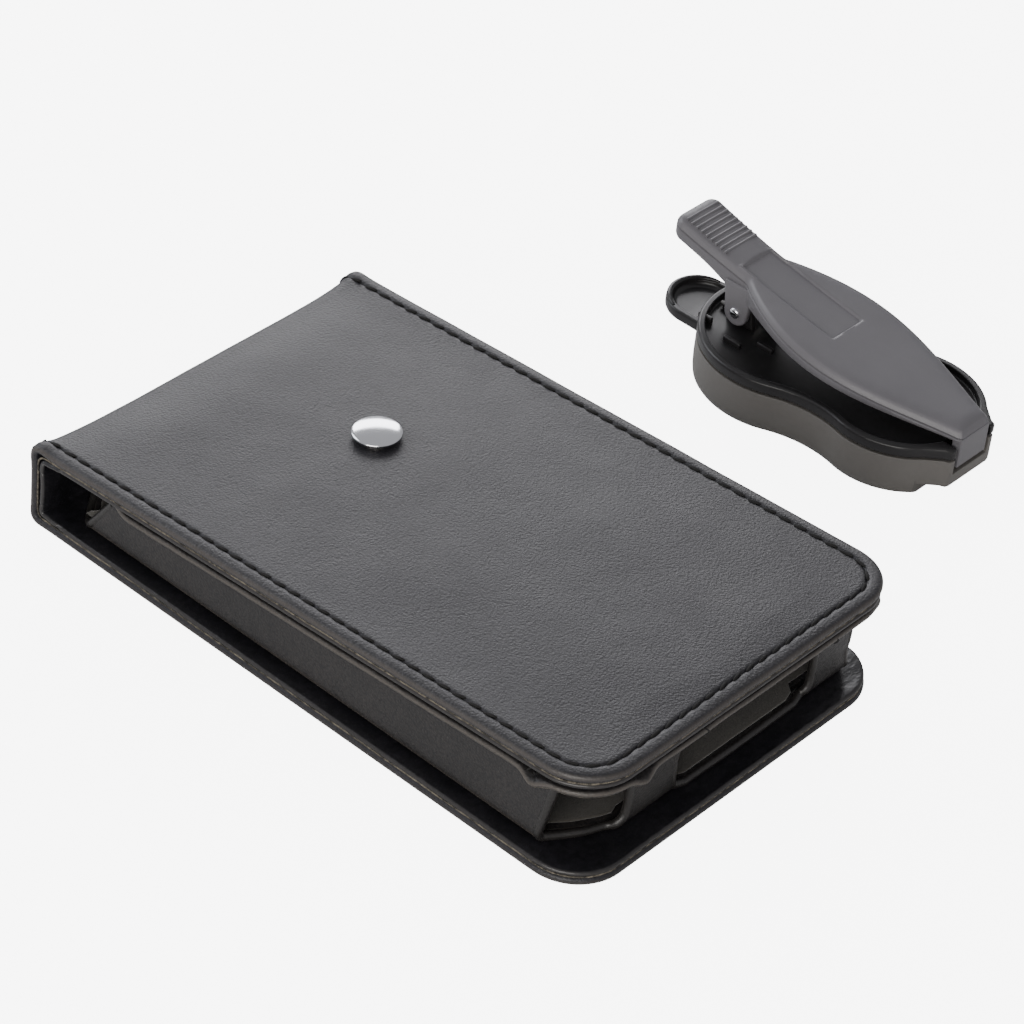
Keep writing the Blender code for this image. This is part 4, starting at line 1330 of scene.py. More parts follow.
@dataclass
class WrappedCase:
    """Flap, spine and back: cover leather, smooth facing, raw edge line and sewn seam."""

    sizes: CaseSizes
    finishes: Finishes
    repeater: Repeater
    field_inset: float = 6.0
    seam_inset: float = 2.55
    facing_depth: float = 2.15
    facing_thickness: float = 0.9
    edge_depth: float = 1.6
    stitch: Triple = (3.0, 2.3, 0.6)
    leather: float = 0.45
    fold_sag: float = 0.75
    ear_rise: float = 0.4

    def __post_init__(self) -> None:
        """Lay out the wrap's layers."""
        self.cover = WrapLine(self.sizes, 0.0, (3.0, 2.4), (6.5, 4.6, 4.0, 6.0))
        self.facing = WrapLine(self.sizes, self.facing_depth, (1.7, 1.2), (4.4, 2.8, 2.2, 4.0))
        self.edge = WrapLine(self.sizes, self.edge_depth, (1.9, 1.5), (4.9, 3.2, 2.6, 4.5))
        self.hem = hem_table(self.leather)

    # shape of the surface

    def cover_relief(self, along: Array, across: Array) -> Array:
        """Height of the cover's own softness: sagging folds, proud hems and a low crown.

        Args:
            along: Distances along the wrap.
            across: Places across.

        Returns:
            Heights to add.
        """
        side = np.abs(across) / self.sizes.half_width
        middle = 1.0 - np.clip(side / 0.93, 0.0, 1.0) ** 6
        upper = along - self.cover.upper_corner
        lower = along - self.cover.lower_corner
        hem = smooth_step(side, 0.88, 0.97)
        height = -self.fold_sag * middle * np.exp(-(upper / 5.5) ** 2)
        height += self.ear_rise * hem * np.exp(-(upper / 2.6) ** 2)
        height += -0.35 * middle * np.exp(-(lower / 4.0) ** 2)
        height += 0.12 * hem * np.exp(-(lower / 2.4) ** 2)
        reach = self.cover.back_reach
        field = np.clip(1.0 - side / 0.9, 0.0, 1.0) * np.clip(along / 8.0, 0.0, 1.0)
        on_back = 1.0 - smooth_step(along, reach - 14.0, reach - 2.0)
        height += 0.28 * on_back * smooth_step(field, 0.0, 0.75)
        points = np.column_stack([along, across, along * 0.0])
        soft = ripple(points, 17.0, 4.2) * 0.09 + ripple(points, 6.5, 9.1) * 0.035
        edge = ripple(points, 8.0, 2.7) * 0.05 * hem
        off_table = 1.0 - smooth_step(along, self.cover.seams[3] - 2.0, self.cover.seams[3])
        return height + (soft * (1.0 - hem) + edge) * off_table

    def facing_relief(self, along: Array, across: Array) -> Array:
        """Wrinkles of the facing, deepest along the spine and at the flap's free end.

        Args:
            along: Distances along the facing.
            across: Places across.

        Returns:
            Heights to add, outwards.
        """
        first, _, _, fourth = self.facing.seams
        on_spine = smooth_step(along, first - 2.0, first + 3.0) * (
            1.0 - smooth_step(along, fourth - 3.0, fourth + 3.0))
        at_end = smooth_step(along, self.facing.total - 22.0, self.facing.total - 4.0)
        points = np.column_stack([along, across, along * 0.0])
        crumple = ripple(points, 4.2, 3.3, (1.0, 1.1, 1.0)) + 0.5 * ripple(points, 1.9, 7.7)
        drawn = ripple(points, 2.6, 5.1, (0.9, 2.6, 1.0)) + 0.4 * ripple(points, 1.2, 1.4)
        side = np.abs(across) / self.sizes.half_width
        quiet = 1.0 - 0.25 * smooth_step(side, 0.93, 1.0)
        return quiet * (-0.42 * on_spine * (0.8 + crumple) + 0.13 * at_end * drawn
                        + 0.03 * ripple(points, 7.0, 6.6))

    # builders

    def _plan(self, line: WrapLine, part: Part) -> tuple[PanelPlan, Callable]:
        """Plan of a panel, and how its points lie along the wrap."""
        start, end = line.span(part)
        plan = PanelPlan(end - start, self.sizes.half_width, self.sizes.corner)
        if part is Part.BACK:
            return plan, lambda reach: end - reach
        return plan, lambda reach: start + reach

    def cover_shape(self, part: Part) -> Shape:
        """Shape of the leather over one part.

        Args:
            part: The part.

        Returns:
            The closed shape.
        """
        half, hem, field = self.sizes.half_width, self.hem, self.field_inset
        if part in (Part.BACK, Part.FLAP):
            plan, place = self._plan(self.cover, part)
            grid, rows = plan.grid(field)
            faces = grid_faces(rows, plan.columns)
            outer, inner = [level(grid)], [level(grid, -self.leather)]
            wear_and_highlight, last, count = [np.zeros(len(grid))], plan.loop_numbers(rows), len(grid)
            for inset, height, inner_inset, inner_height, worn_and_highlit in hem:
                outer.append(level(plan.loop(inset), height))
                inner.append(level(plan.loop(inner_inset), inner_height))
                wear_and_highlight.append(np.full(len(last), worn_and_highlit))
                numbers = list(range(count, count + len(last)))
                count += len(last)
                faces += [(last[k], numbers[k], numbers[k + 1], last[k + 1])
                          for k in range(len(last) - 1)]
                last = numbers
            surfaces, wear_and_highlight = [np.vstack(outer), np.vstack(inner)], np.concatenate(wear_and_highlight)
        else:
            start, end = self.cover.span(part)
            stations = np.linspace(start, end, max(8, math.ceil((end - start) / 0.35)) + 1)
            across = np.linspace(-1.0, 1.0, PanelPlan.columns) * (half - field)
            surfaces = []
            for column, height in ((0, 0.0), (2, -self.leather)):
                edge = hem[:, column:column + 2]
                section = np.vstack([edge[::-1] - (half, 0.0), level(across, height),
                                     (half, 0.0) + edge * (-1.0, 1.0)])
                surfaces.append(np.column_stack([np.repeat(stations, len(section)),
                                                 np.tile(section, (len(stations), 1))]))
            faces = grid_faces(len(stations), len(section))
            wear_and_highlight = np.tile(np.concatenate([hem[::-1, 4], across * 0.0, hem[:, 4]]), len(stations))

            def place(along: Array) -> Array:
                """Distances along the wrap, as they are."""
                return along
        sides = []
        for surface in surfaces:
            along = place(surface[:, 0])
            height = surface[:, 2] + self.cover_relief(along, surface[:, 1])
            sides.append(self.cover.lifted(along, surface[:, 1], height))
        return Shape.doubled(sides[0], sides[1], faces, wear_and_highlight)

    def facing_shape(self, part: Part) -> Shape:
        """Shape of the smooth facing inside one part.

        Args:
            part: The part.

        Returns:
            The closed shape.
        """
        rim = 0.2 + self.facing_thickness / 2
        if part in (Part.BACK, Part.FLAP):
            plan, place = self._plan(self.facing, part)
            grid, rows = plan.grid(rim)
            along, across = place(grid[:, 0]), grid[:, 1]
            faces = grid_faces(rows, plan.columns)
        else:
            start, end = self.facing.span(part)
            rows = max(8, math.ceil((end - start) / 0.45))
            places = np.linspace(-1.0, 1.0, 81) * (self.sizes.half_width - rim)
            along = np.repeat(np.linspace(start, end, rows + 1), len(places))
            across = np.tile(places, rows + 1)
            faces = grid_faces(rows + 1, len(places))
        height = self.facing_relief(along, across)
        return Shape.sheet(self.facing.lifted(along, across, height), faces,
                           self.facing_thickness, 0.8)

    def _side_lines(self, line: WrapLine, part: Part, inset: float) -> list[tuple[Array, Array]]:
        """Lines that follow a part's free edges.

        Args:
            line: The layer's side view.
            part: The part.
            inset: How far in from the edge.

        Returns:
            Distances along, and places across, of each line.
        """
        if part in (Part.BACK, Part.FLAP):
            plan, place = self._plan(line, part)
            loop = plan.loop(inset)
            return [(place(loop[:, 0]), loop[:, 1])]
        start, end = line.span(part)
        along = np.linspace(start, end, max(6, math.ceil((end - start) / 0.5)))
        side = self.sizes.half_width - inset
        return [(along, along * 0 + sign * side) for sign in (-1.0, 1.0)]

    def edge_shape(self, part: Part) -> Shape:
        """Raw edge that shows as a pale line between the cover and the facing."""
        tubes = []
        for along, across in self._side_lines(self.edge, part, 0.42):
            points = np.column_stack([along, across, along * 0.0])
            height = 0.07 * ripple(points, 5.0, 8.8) + 0.04 * ripple(points, 1.7, 2.1)
            radius = 0.15 + 0.035 * ripple(points, 2.2, 5.5)
            tubes.append(Shape.tube(self.edge.lifted(along, across, height), radius, 6))
        return Shape.merged(tubes)

    def stitches(self, part: Part) -> Piece:
        """Sew the seam of one part."""
        lines, ups = [], []
        on_table = part in (Part.FLAP, Part.LOWER_FOLD)
        sunk = -0.32 if on_table else 0.0
        for along, across in self._side_lines(self.cover, part, self.seam_inset):
            height = sunk + self.cover_relief(along, across)
            lines.append(self.cover.lifted(along, across, height))
            ups.append(self.cover.up(along))
        pitch, length, thickness = (size * MM for size in self.stitch)
        values = {"Pitch": pitch, "Length": length, "Thickness": thickness,
                  "Slant": 0.05 if on_table else 0.17, "Seed": 3 + len(part.value),
                  "Thread": self.finishes.thread}
        item = self.repeater.repeated(part.value + "_stitches", lines, ups,
                                      self.repeater.stitches, values)
        for point in item.data.vertices:
            point.co.z = max(point.co.z, 0.0)
        return item

    def attach(self, item: Piece, part: Part) -> None:
        """Let an object move with its part, or, on a fold, bake its place into its mesh.

        Args:
            item: The object.
            part: The part.
        """
        if part is Part.UPPER_FOLD:
            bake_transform(item)
        elif part is Part.LOWER_FOLD:
            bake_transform(item)
        else:
            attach(item, part.value)

    def build(self) -> None:
        """Make every layer of every part, and let the layers of the back, spine and flap move."""
        for part in Part:
            name, finishes = part.value, self.finishes
            cover = self.cover_shape(part).moved(above_table).made(
                name + "_cover", finishes.cover, 60)
            self.attach(cover, part)
            facing = self.facing_shape(part).made(name + "_facing", finishes.lining, 60)
            self.attach(facing, part)
            edge = self.edge_shape(part).made(name + "_raw_edge", finishes.raw)
            self.attach(edge, part)
            seam = self.stitches(part)
            self.attach(seam, part)
            if part in (Part.BACK, Part.SPINE, Part.FLAP):
                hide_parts(name + "_skin")
                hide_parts(name + "_lining")
            if part in (Part.BACK, Part.FLAP):
                start, end = self.cover.span(part)
                (end - start + 5.0) * MM
                start, end = self.facing.span(part)
                (end - start) * MM
            LOG.info("%s: cover, facing, raw edge and seam", name)


# pocket


@dataclass
class Pocket:
    """Pocket under the back: turned flange, walls with a rounded foot, end straps and face."""

    sizes: CaseSizes
    finishes: Finishes
    repeater: Repeater
    wrap: WrappedCase
    flange_start: float = 13.5
    flange_middle: float = 3.5
    flange_thickness: float = 1.1
    wall_thickness: float = 1.2
    foot_radius: float = 2.2
    suede_thickness: float = 0.5
    top_drop: float = 4.3
    window_span: tuple[float, float] = (-41.0, -5.0)
    window_half: float = 25.5
    window_corner: float = 3.0
    wheel_x: float = 21.0
    wheel_radius: float = 21.0
    curl: float = 2.4
    wall_flat: tuple[float, float] = (97.0, 15.5)
    wall_suede_flat: tuple[float, float] = (93.0, 10.0)
    strap_length: float = 16.5
    face_flat: tuple[float, float] = (107.8, 64.0)
    face_area: float = 0.0038
    face_suede_area: float = 0.0036
    stitch: Triple = (2.7, 2.1, 0.5)

    def __post_init__(self) -> None:
        """Read the places of walls, face and straps from the frame."""
        low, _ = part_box("pocket_wall_near")
        face_low, face_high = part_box("pocket_frame")
        self.wall_y = -low.y / MM - self.wall_thickness / 2
        self.face_z = (face_low.z + face_high.z) / 2 / MM
        self.face_end = face_high.x / MM
        self.face_start = face_low.x / MM
        self.straps = {}
        for name in ("near", "far"):
            low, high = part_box("end_strap_" + name)
            self.straps[name] = (low.y / MM, high.y / MM, high.x / MM)

    # flange

    def flange(self) -> None:
        """Turned flange that holds the pocket under the back's edge, with its raw edge."""
        reach = self.sizes.back_length - self.flange_start
        plan = PanelPlan(reach, self.sizes.half_width, self.sizes.corner)
        middle = plan.loop(1.1)
        steps = np.linalg.norm(np.diff(middle, axis=0), axis=1)
        walked = np.concatenate([[0.0], np.cumsum(steps)])
        from_end = np.minimum(walked, walked[-1] - walked)
        grown = smooth_step(from_end, 0.0, 8.0)
        corner_tips = [np.array([reach - 11.5, -self.sizes.half_width + 1.0]),
                       np.array([reach - 1.0, -self.sizes.half_width + 12.0]),
                       np.array([reach - 4.0, self.sizes.half_width - 4.5])]
        line = self.wrap.cover

        def lifted(share: float, rise: float) -> Array:
            """Line of points at a share of the flange's width."""
            outer, inner = plan.loop(1.0), plan.loop(3.6)
            tips = sum(np.exp(-((outer - tip) ** 2).sum(1) / 3.4) for tip in corner_tips)
            tips = tips * (1.0 - share)
            outward = outer - inner
            outward /= np.linalg.norm(outward, axis=1, keepdims=True)
            pull = (share + (1.0 - share) * 0.75 * (1.0 - grown))[:, None]
            flat = outer + (inner - outer) * pull + outward * 0.7 * tips[:, None]
            points = level(flat)
            height = (-self.flange_middle - 0.4 * (1.0 - share) * grown + 0.8 * (1.0 - grown)
                      - 0.9 * tips
                      + 0.09 * ripple(points, 9.0, 3.1) + 0.05 * ripple(points, 3.0, 6.4) + rise)
            return line.lifted(reach - flat[:, 0], flat[:, 1], height)

        shares = np.linspace(0.0, 1.0, 6)
        rows = np.stack([lifted(share, 0.0) for share in shares], axis=1)
        faces = grid_faces(len(walked), len(shares))
        band = Shape.sheet(rows.reshape(-1, 3), faces, self.flange_thickness, 0.9).made(
            "pocket_flange_band", self.finishes.pocket, 60)
        settle(band, "back", Slot.LEATHER, "pocket_flange")
        edge = Shape.tube(lifted(-0.02, -0.58), 0.12 + 0.03 * ripple(
            lifted(0.0, 0.0), 2.5, 1.9), 6).made("flange_raw_edge", self.finishes.raw)
        settle(edge, "back", Slot.LEATHER)

    # walls

    @staticmethod
    def _hang(upright: int, turn: int) -> tuple[Array, Array]:
        """How far down each column of a hanging strip lies, and how far round its foot."""
        steps = np.arange(upright + turn)
        down = np.minimum(steps / (upright - 1), 1.0)
        return down, math.pi / 2 * np.maximum(steps - upright + 1, 0) / max(turn, 1)

    def wall_rows(self, side: float, offset: float, foot: bool,
                  trim: float) -> tuple[Array, int, int]:
        """Grid of points over a long wall.

        Args:
            side: -1 for the near wall and 1 for the far one.
            offset: How far inside the outer wall the layer lies.
            foot: Whether it turns in under the pocket.
            trim: How much shorter it is at both ends.

        Returns:
            The points, rows and columns.
        """
        rows = 110
        down, turned = self._hang(15, 8 if foot else 0)
        share = np.linspace(0.0, 1.0, len(down))
        start = np.interp(share, [0.0, 0.65, 0.82, 1.0], [-41.6, -45.9, -47.3, -49.0]) + trim
        end = np.interp(share, [0.0, 0.65, 0.82, 1.0], [49.4, 47.4, 47.3, 47.8]) - trim
        bend_z = self.face_z + self.foot_radius + (0.0 if foot else -0.3)
        x = start + (end - start) * np.linspace(0.0, 1.0, rows)[:, None]
        top = self.sizes.back_z(x, self.top_drop)
        z = top + (bend_z - top) * down - self.foot_radius * np.sin(turned)
        y = (self.wall_y - offset - 0.55 * (1.0 - down) ** 1.4
             - self.foot_radius * (1.0 - np.cos(turned)))
        flat = np.stack([x, x * 0.0 + side * y, z], axis=2).reshape(-1, 3)
        swell = 0.16 * ripple(flat, 12.0, 2.0 + side, (1.4, 1.0, 0.7)) + 0.07 * ripple(
            flat, 4.5, 7.0 + side, (1.0, 1.0, 1.6))
        flat[:, 1] += side * swell * smooth_step(flat[:, 2], self.face_z + 0.4, bend_z + 1.0)
        return flat, rows, len(down)

    def walls(self) -> dict[str, Array]:
        """Both long walls with their suede.

        Returns:
            Each wall's grid of points, by side.
        """
        grids = {}
        for side, name in ((-1.0, "near"), (1.0, "far")):
            points, rows, columns = self.wall_rows(side, 0.0, True, 0.0)
            sheet = Shape.sheet(points, grid_faces(rows, columns), self.wall_thickness, 0.5)
            # A pale band along the foot's bend: a painted highlight, partly wear.
            rubbed_and_highlit = 0.5 * np.exp(-((sheet.points[:, 2] - self.face_z - 0.75) / 0.55) ** 2)
            sheet.wear_and_highlight = np.maximum(sheet.wear_and_highlight, rubbed_and_highlit)
            wall = sheet.made("wall_leather_" + name, self.finishes.pocket, 60)
            settle(wall, "back", Slot.LEATHER, "pocket_wall_" + name)
            grids[name] = points.reshape(rows, columns, 3)
            points, rows, columns = self.wall_rows(side, 1.05, False, 0.7)
            suede = Shape.sheet(points, grid_faces(rows, columns), self.suede_thickness, 0.0).made(
                "wall_suede_" + name, self.finishes.suede, 60)
            settle(suede, "back", Slot.SUEDE, "wall_lining_" + name)
        return grids

    def strap_grids(self) -> dict[str, Array]:
        """End straps, which turn in under the pocket at their foot.

        Returns:
            Each strap's grid of points, by side.
        """
        grids = {}
        for name, (low, high, face) in self.straps.items():
            rows, foot = 25, 2.1
            down, turned = self._hang(16, 8)
            middle = face - self.wall_thickness / 2
            share = np.linspace(0.0, 1.0, len(down))
            flare = 1.5 * smooth_step(share, 0.55, 1.0)
            waist = 0.5 * np.sin(math.pi * np.minimum(1.0, share * 1.25))
            near, far = low - flare + waist + 0.6, high + 0.5 * flare - waist - 0.6
            across = np.linspace(0.0, 1.0, rows)[:, None]
            y = near + (far - near) * across
            x = (middle + 0.35 * np.sin(math.pi * across) * (1.0 - share)
                 - foot * (1.0 - np.cos(turned)))
            top, bend_z = self.sizes.back_z(middle, self.top_drop), self.face_z + foot
            z = top + (bend_z - top) * down - foot * np.sin(turned)
            flat = np.stack([x, y, x * 0.0 + z], axis=2).reshape(-1, 3)
            flat[:, 0] += 0.2 * ripple(flat, 4.0, 5.0, (1.0, 1.6, 1.0)) + 0.1 * ripple(
                flat, 1.8, 2.0)
            strap = Shape.sheet(flat, grid_faces(rows, len(down)), self.wall_thickness,
                                0.8).made("strap_leather_" + name, self.finishes.pocket, 60)
            settle(strap, "back", Slot.LEATHER, "end_strap_" + name)
            grids[name] = flat.reshape(rows, len(down), 3)
            wide = float(np.ptp(grids[name][:, -1, 1])) + self.wall_thickness
        return grids

    # face

    def face_outline(self, trim: float) -> Array:
        """Plan of the pocket's face.

        Args:
            trim: How much smaller it is all round.

        Returns:
            The outline.
        """
        start, end = self.face_start + 0.1, self.face_end
        side = self.wall_y - self.foot_radius + 0.25
        near_low, near_high, _ = self.straps["near"]
        far_low, far_high, _ = self.straps["far"]
        tucked = end - 2.2
        near = [(start, -20.0), (start + 0.3, -24.5), (start + 1.9, -28.2), (start + 4.9, -side),
                (47.6, -side), (49.8, -28.6), (51.6, -25.2), (tucked + 0.6, near_low - 0.6),
                (tucked, near_low + 1.0), (tucked, near_high - 1.0),
                (end - 0.6, near_high + 0.4), (end, near_high + 2.2)]
        far = [(end, far_low - 2.2), (end - 0.6, far_low - 0.4), (tucked, far_low + 1.0),
               (tucked, far_high - 1.0), (51.0, far_high + 0.6), (47.6, side),
               (start + 4.9, side), (start + 1.9, 28.2), (start + 0.3, 24.5), (start, 20.0)]
        points = np.array(near + far)
        return points - np.sign(points) * trim

    def windows(self, grow: float) -> list[Array]:
        """Screen window and wheel hole.

        Args:
            grow: How much larger they are all round.

        Returns:
            Their outlines.
        """
        low, high = self.window_span[0] - grow, self.window_span[1] + grow
        half, radius = self.window_half + grow, self.window_corner
        corners = ((high - radius, half - radius, 0.0), (low + radius, half - radius, 90.0),
                   (low + radius, radius - half, 180.0), (high - radius, radius - half, 270.0))
        screen = np.vstack([circle_points(x, y, radius, start, start + 90.0, 6)
                            for x, y, start in corners])
        return [screen, circle_points(self.wheel_x, 0.0, self.wheel_radius + grow, steps=72)[:-1]]

    def face_height(self, flat: Array, rise: float) -> Array:
        """Lay plan points on the face, which curls up at the pocket's mouth.

        Args:
            flat: Points in plan.
            rise: Height above the face's middle.

        Returns:
            The points.
        """
        toward_mouth = smooth_step(-flat[:, 0], -self.face_start - 8.0, -self.face_start + 0.5)
        inward = 1.0 - smooth_step(np.abs(flat[:, 1]), 26.5, 31.5)
        points = level(flat)
        soft = 0.05 * ripple(points, 9.0, 4.4)
        height = self.face_z + rise + self.curl * toward_mouth ** 1.3 * inward + soft
        return level(flat, height)

    def face(self) -> None:
        """Leather face of the pocket with its windows, its suede and its seams."""
        flat, faces = plate([self.face_outline(0.55), *self.windows(0.55)], 1.7)
        face = Shape.sheet(self.face_height(flat, 0.0), faces, self.wall_thickness, 0.6).made(
            "pocket_face_leather", self.finishes.pocket, 60)
        settle(face, "back", Slot.LEATHER, "pocket_frame")
        flat, faces = plate([self.face_outline(1.3), *self.windows(1.3)], 1.7)
        suede = Shape.sheet(self.face_height(flat, 0.95), faces, self.suede_thickness, 0.0).made(
            "pocket_face_suede", self.finishes.suede, 60)
        settle(suede, "back", Slot.SUEDE, "frame_lining")
        size = tuple(side * MM for side in self.face_flat)
        lines, ups = [], []
        near_high, far_low = self.straps["near"][1], self.straps["far"][0]
        dock = np.linspace(near_high + 0.6, far_low - 0.6, 60)
        lines.append(np.column_stack([dock * 0 + self.face_end - 1.75, dock,
                                      dock * 0 + self.face_z + 0.72]))
        ups.append(np.tile([0.0, 0.0, 1.0], (len(dock), 1)))
        for window in self.windows(2.2):
            ring = resampled(np.vstack([window, window[:1]]), 0.8)[:-1]
            lines.append(self.face_height(ring, -0.68))
            ups.append(np.tile([0.0, 0.0, -1.0], (len(ring), 1)))
        pitch, length, thickness = (size * MM for size in self.stitch)
        values = {"Pitch": pitch, "Length": length, "Thickness": thickness, "Slant": 0.1,
                  "Seed": 11, "Thread": self.finishes.thread}
        seams = self.repeater.repeated("face_stitches", lines, ups, self.repeater.stitches, values)
        settle(seams, "back", Slot.LEATHER)

    # bound edges

    def bindings(self, walls: dict[str, Array], straps: dict[str, Array]) -> None:
        """Rolled bindings round the mouth and the openings at the free end.

        Args:
            walls: Grids of the walls.
            straps: Grids of the straps.
        """
        def edge_of_face(points: Sequence[tuple[float, float]]) -> Array:
            """Points on the face's edge."""
            return self.face_height(spline([(x, y, 0.0) for x, y in points])[:, :2], 0.0)

        start, end = self.face_start + 0.5, self.face_end
        across = [(start + 3.7, -self.wall_y + 2.9), (start + 1.7, -27.6), (start + 0.2, -24.2),
                  (start, -19.0), (start, 0.0), (start, 19.0), (start + 0.2, 24.2),
                  (start + 1.7, 27.6), (start + 3.7, self.wall_y - 2.9)]
        mouth = np.vstack([walls["near"][0, 1:-1:2], edge_of_face(across),
                           walls["far"][0, 1:-1:2][::-1]])
        near_low, near_high, _ = self.straps["near"]
        far_low, far_high, _ = self.straps["far"]
        corner = [(48.9, -29.8), (50.6, -26.9), (51.7, near_low - 1.6)]
        far_corner = [(51.2, far_high + 1.4), (49.3, 31.0)]
        window = np.vstack([walls["near"][-1, 1:-2:2], edge_of_face(corner),
                            straps["near"][0, 1:-2:2][::-1]])
        far_window = np.vstack([straps["far"][-1, 1:-2:2], edge_of_face(far_corner),
                                walls["far"][-1, 1:-2:2][::-1]])
        dock_line = [(end - 0.5, near_high + 2.4), (end - 0.35, 5.0), (end - 0.5, far_low - 2.4)]
        dock = np.vstack([straps["near"][-1, 1:-3:2], edge_of_face(dock_line),
                          straps["far"][0, 1:-3:2][::-1]])
        pieces = []
        for path, radius in ((mouth, 0.78), (window, 0.74), (far_window, 0.74), (dock, 0.72)):
            line = spline(path, 0.4)
            pieces.append(Shape.tube(line, radius + 0.05 * ripple(line, 2.5, 3.0), 10))
        item = Shape.merged(pieces).made("pocket_bindings", self.finishes.binding)
        settle(item, "back", Slot.LEATHER)

    def knots(self) -> None:
        """Thread ends where the seams start and stop."""
        tall = self.sizes.back_z
        near_low, near_high, face = self.straps["near"]
        far_low, far_high, _ = self.straps["far"]
        rim = self.sizes.half_width - 1.2
        spots = [(46.0, -rim, tall(46.0, 4.1)), (face + 2.1, near_low - 1.2, tall(face, 3.9)),
                 (face + 2.7, near_high + 0.2, tall(face, 4.0)),
                 (face + 2.7, far_low - 0.2, tall(face, 4.0)),
                 (face + 1.7, far_high + 0.6, tall(face, 4.0)),
                 (-57.0, -self.sizes.half_width + 0.9, tall(-57.0, 1.2))]
        pieces = []
        for k, (x, y, z) in enumerate(spots):
            for twist in range(3):
                turns = np.linspace(0.0, 1.5 * math.pi, 9) + k * 1.7 + twist * 2.1
                size = 0.7 - 0.14 * twist
                line = np.column_stack([x + size * np.cos(turns),
                                        y + size * 0.8 * np.sin(turns * 1.3 + twist),
                                        z + size * np.sin(turns + twist) - 0.2 * twist])
                pieces.append(Shape.tube(spline(line, 0.2), 0.21, 6))
        item = Shape.merged(pieces).made("thread_knots", self.finishes.thread)
        settle(item, "back", Slot.LEATHER)

    def build(self) -> None:
        """Make the pocket."""
        self.flange()
        walls = self.walls()
        self.face()
        straps = self.strap_grids()
        self.bindings(walls, straps)
        self.knots()
        LOG.info("pocket: flange, walls, straps, face, bindings and knots")


# stud


@dataclass
class Stud:
    """Domed chrome stud riveted through the back."""

    sizes: CaseSizes
    finishes: Finishes
    radius: float = 4.1
    height: float = 1.1
    standoff: float = 0.9

    def build(self) -> None:
        """Make the domed cap."""
        low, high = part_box("stud_cap")
        slope = self.sizes.slope
        x = (low.x + high.x) / 2 / MM + (self.standoff + self.height / 2) * math.sin(slope)
        y = (low.y + high.y) / 2 / MM
        base = self.standoff
        dome = [(0.0, base + self.height)]
        for turn in np.linspace(0.0, 1.0, 15)[1:]:
            dome.append((0.93 * self.radius * turn,
                         base + self.height - 0.5 * turn ** 2.2))
        for degrees in (50, 20, -10, -40, -70, -90):
            c, s = math.cos(math.radians(degrees)), math.sin(math.radians(degrees))
            dome.append((0.93 * self.radius + 0.07 * self.radius * c, base + 0.3 + 0.3 * s))
        dome += [(0.7 * self.radius, base + 0.06), (0.0, base + 0.06)]
        turn = Matrix.Translation((x, y, self.sizes.back_z(x, 0.0))) @ Matrix.Rotation(
            -slope, 4, "Y")
        matrix = np.array(turn)
        cap = Shape.turned(dome, 72).moved(lambda p: p @ matrix[:3, :3].T + matrix[:3, 3]).made(
            "stud_dome", self.finishes.chrome, 70)
        settle(cap, "back", Slot.CHROME, "stud_cap")
        LOG.info("stud: dome")


# belt clip


def outline_normals(loop: Array) -> Array:
    """Outward directions round an outline that runs anticlockwise.

    Args:
        loop: The outline.

    Returns:
        Unit directions, lengthened at corners so that an inset keeps its width.
    """
    before, after = loop - np.roll(loop, 1, axis=0), np.roll(loop, -1, axis=0) - loop
    first = np.column_stack([before[:, 1], -before[:, 0]])
    second = np.column_stack([after[:, 1], -after[:, 0]])
    first /= np.maximum(np.linalg.norm(first, axis=1, keepdims=True), 1e-12)
    second /= np.maximum(np.linalg.norm(second, axis=1, keepdims=True), 1e-12)
    both = first + second
    return both / np.maximum((both * both).sum(1, keepdims=True) / 2.0, 0.5)


def stack(loop: Array, rings: Sequence[tuple[float, float]]) -> Shape:
    """Stack insets of an outline into a solid.

    Args:
        loop: The outline, anticlockwise.
        rings: Inset and height of each level, from the bottom.

    Returns:
        The closed shape.
    """
    normals, count = outline_normals(loop), len(loop)
    points = [level(loop - normals * inset, z) for inset, z in rings]
    faces: Faces = [tuple(range(count))[::-1]]
    for a in range(0, (len(rings) - 1) * count, count):
        b = a + count
        faces += [(a + k, a + (k + 1) % count, b + (k + 1) % count, b + k) for k in range(count)]
    faces.append(tuple(range((len(rings) - 1) * count, len(rings) * count)))
    return Shape(np.vstack(points), faces, np.zeros(count * len(rings)))


def block(low: Sequence[float], high: Sequence[float]) -> Shape:
    """Box between two corners, to cut with or to round."""
    loop = np.array([(low[0], low[1]), (high[0], low[1]), (high[0], high[1]), (low[0], high[1])])
    return stack(loop, [(0.0, low[2]), (0.0, high[2])])


def upright(shape: Shape, shift_y: float = 0.0) -> Shape:
    """Stand a shape drawn in plan up in the XZ plane, its height becoming Y."""
    return shape.moved(lambda p: np.column_stack([p[:, 0], shift_y - p[:, 2], p[:, 1]]))


def circle_points(x: float, y: float, radius: float, start: float = 0.0, end: float = 360.0,
                  steps: int = 48) -> Array:
    """Points of an arc, its angles in degrees."""
    turns = np.radians(np.linspace(start, end, steps + 1))
    return np.column_stack([x + radius * np.cos(turns), y + radius * np.sin(turns)])


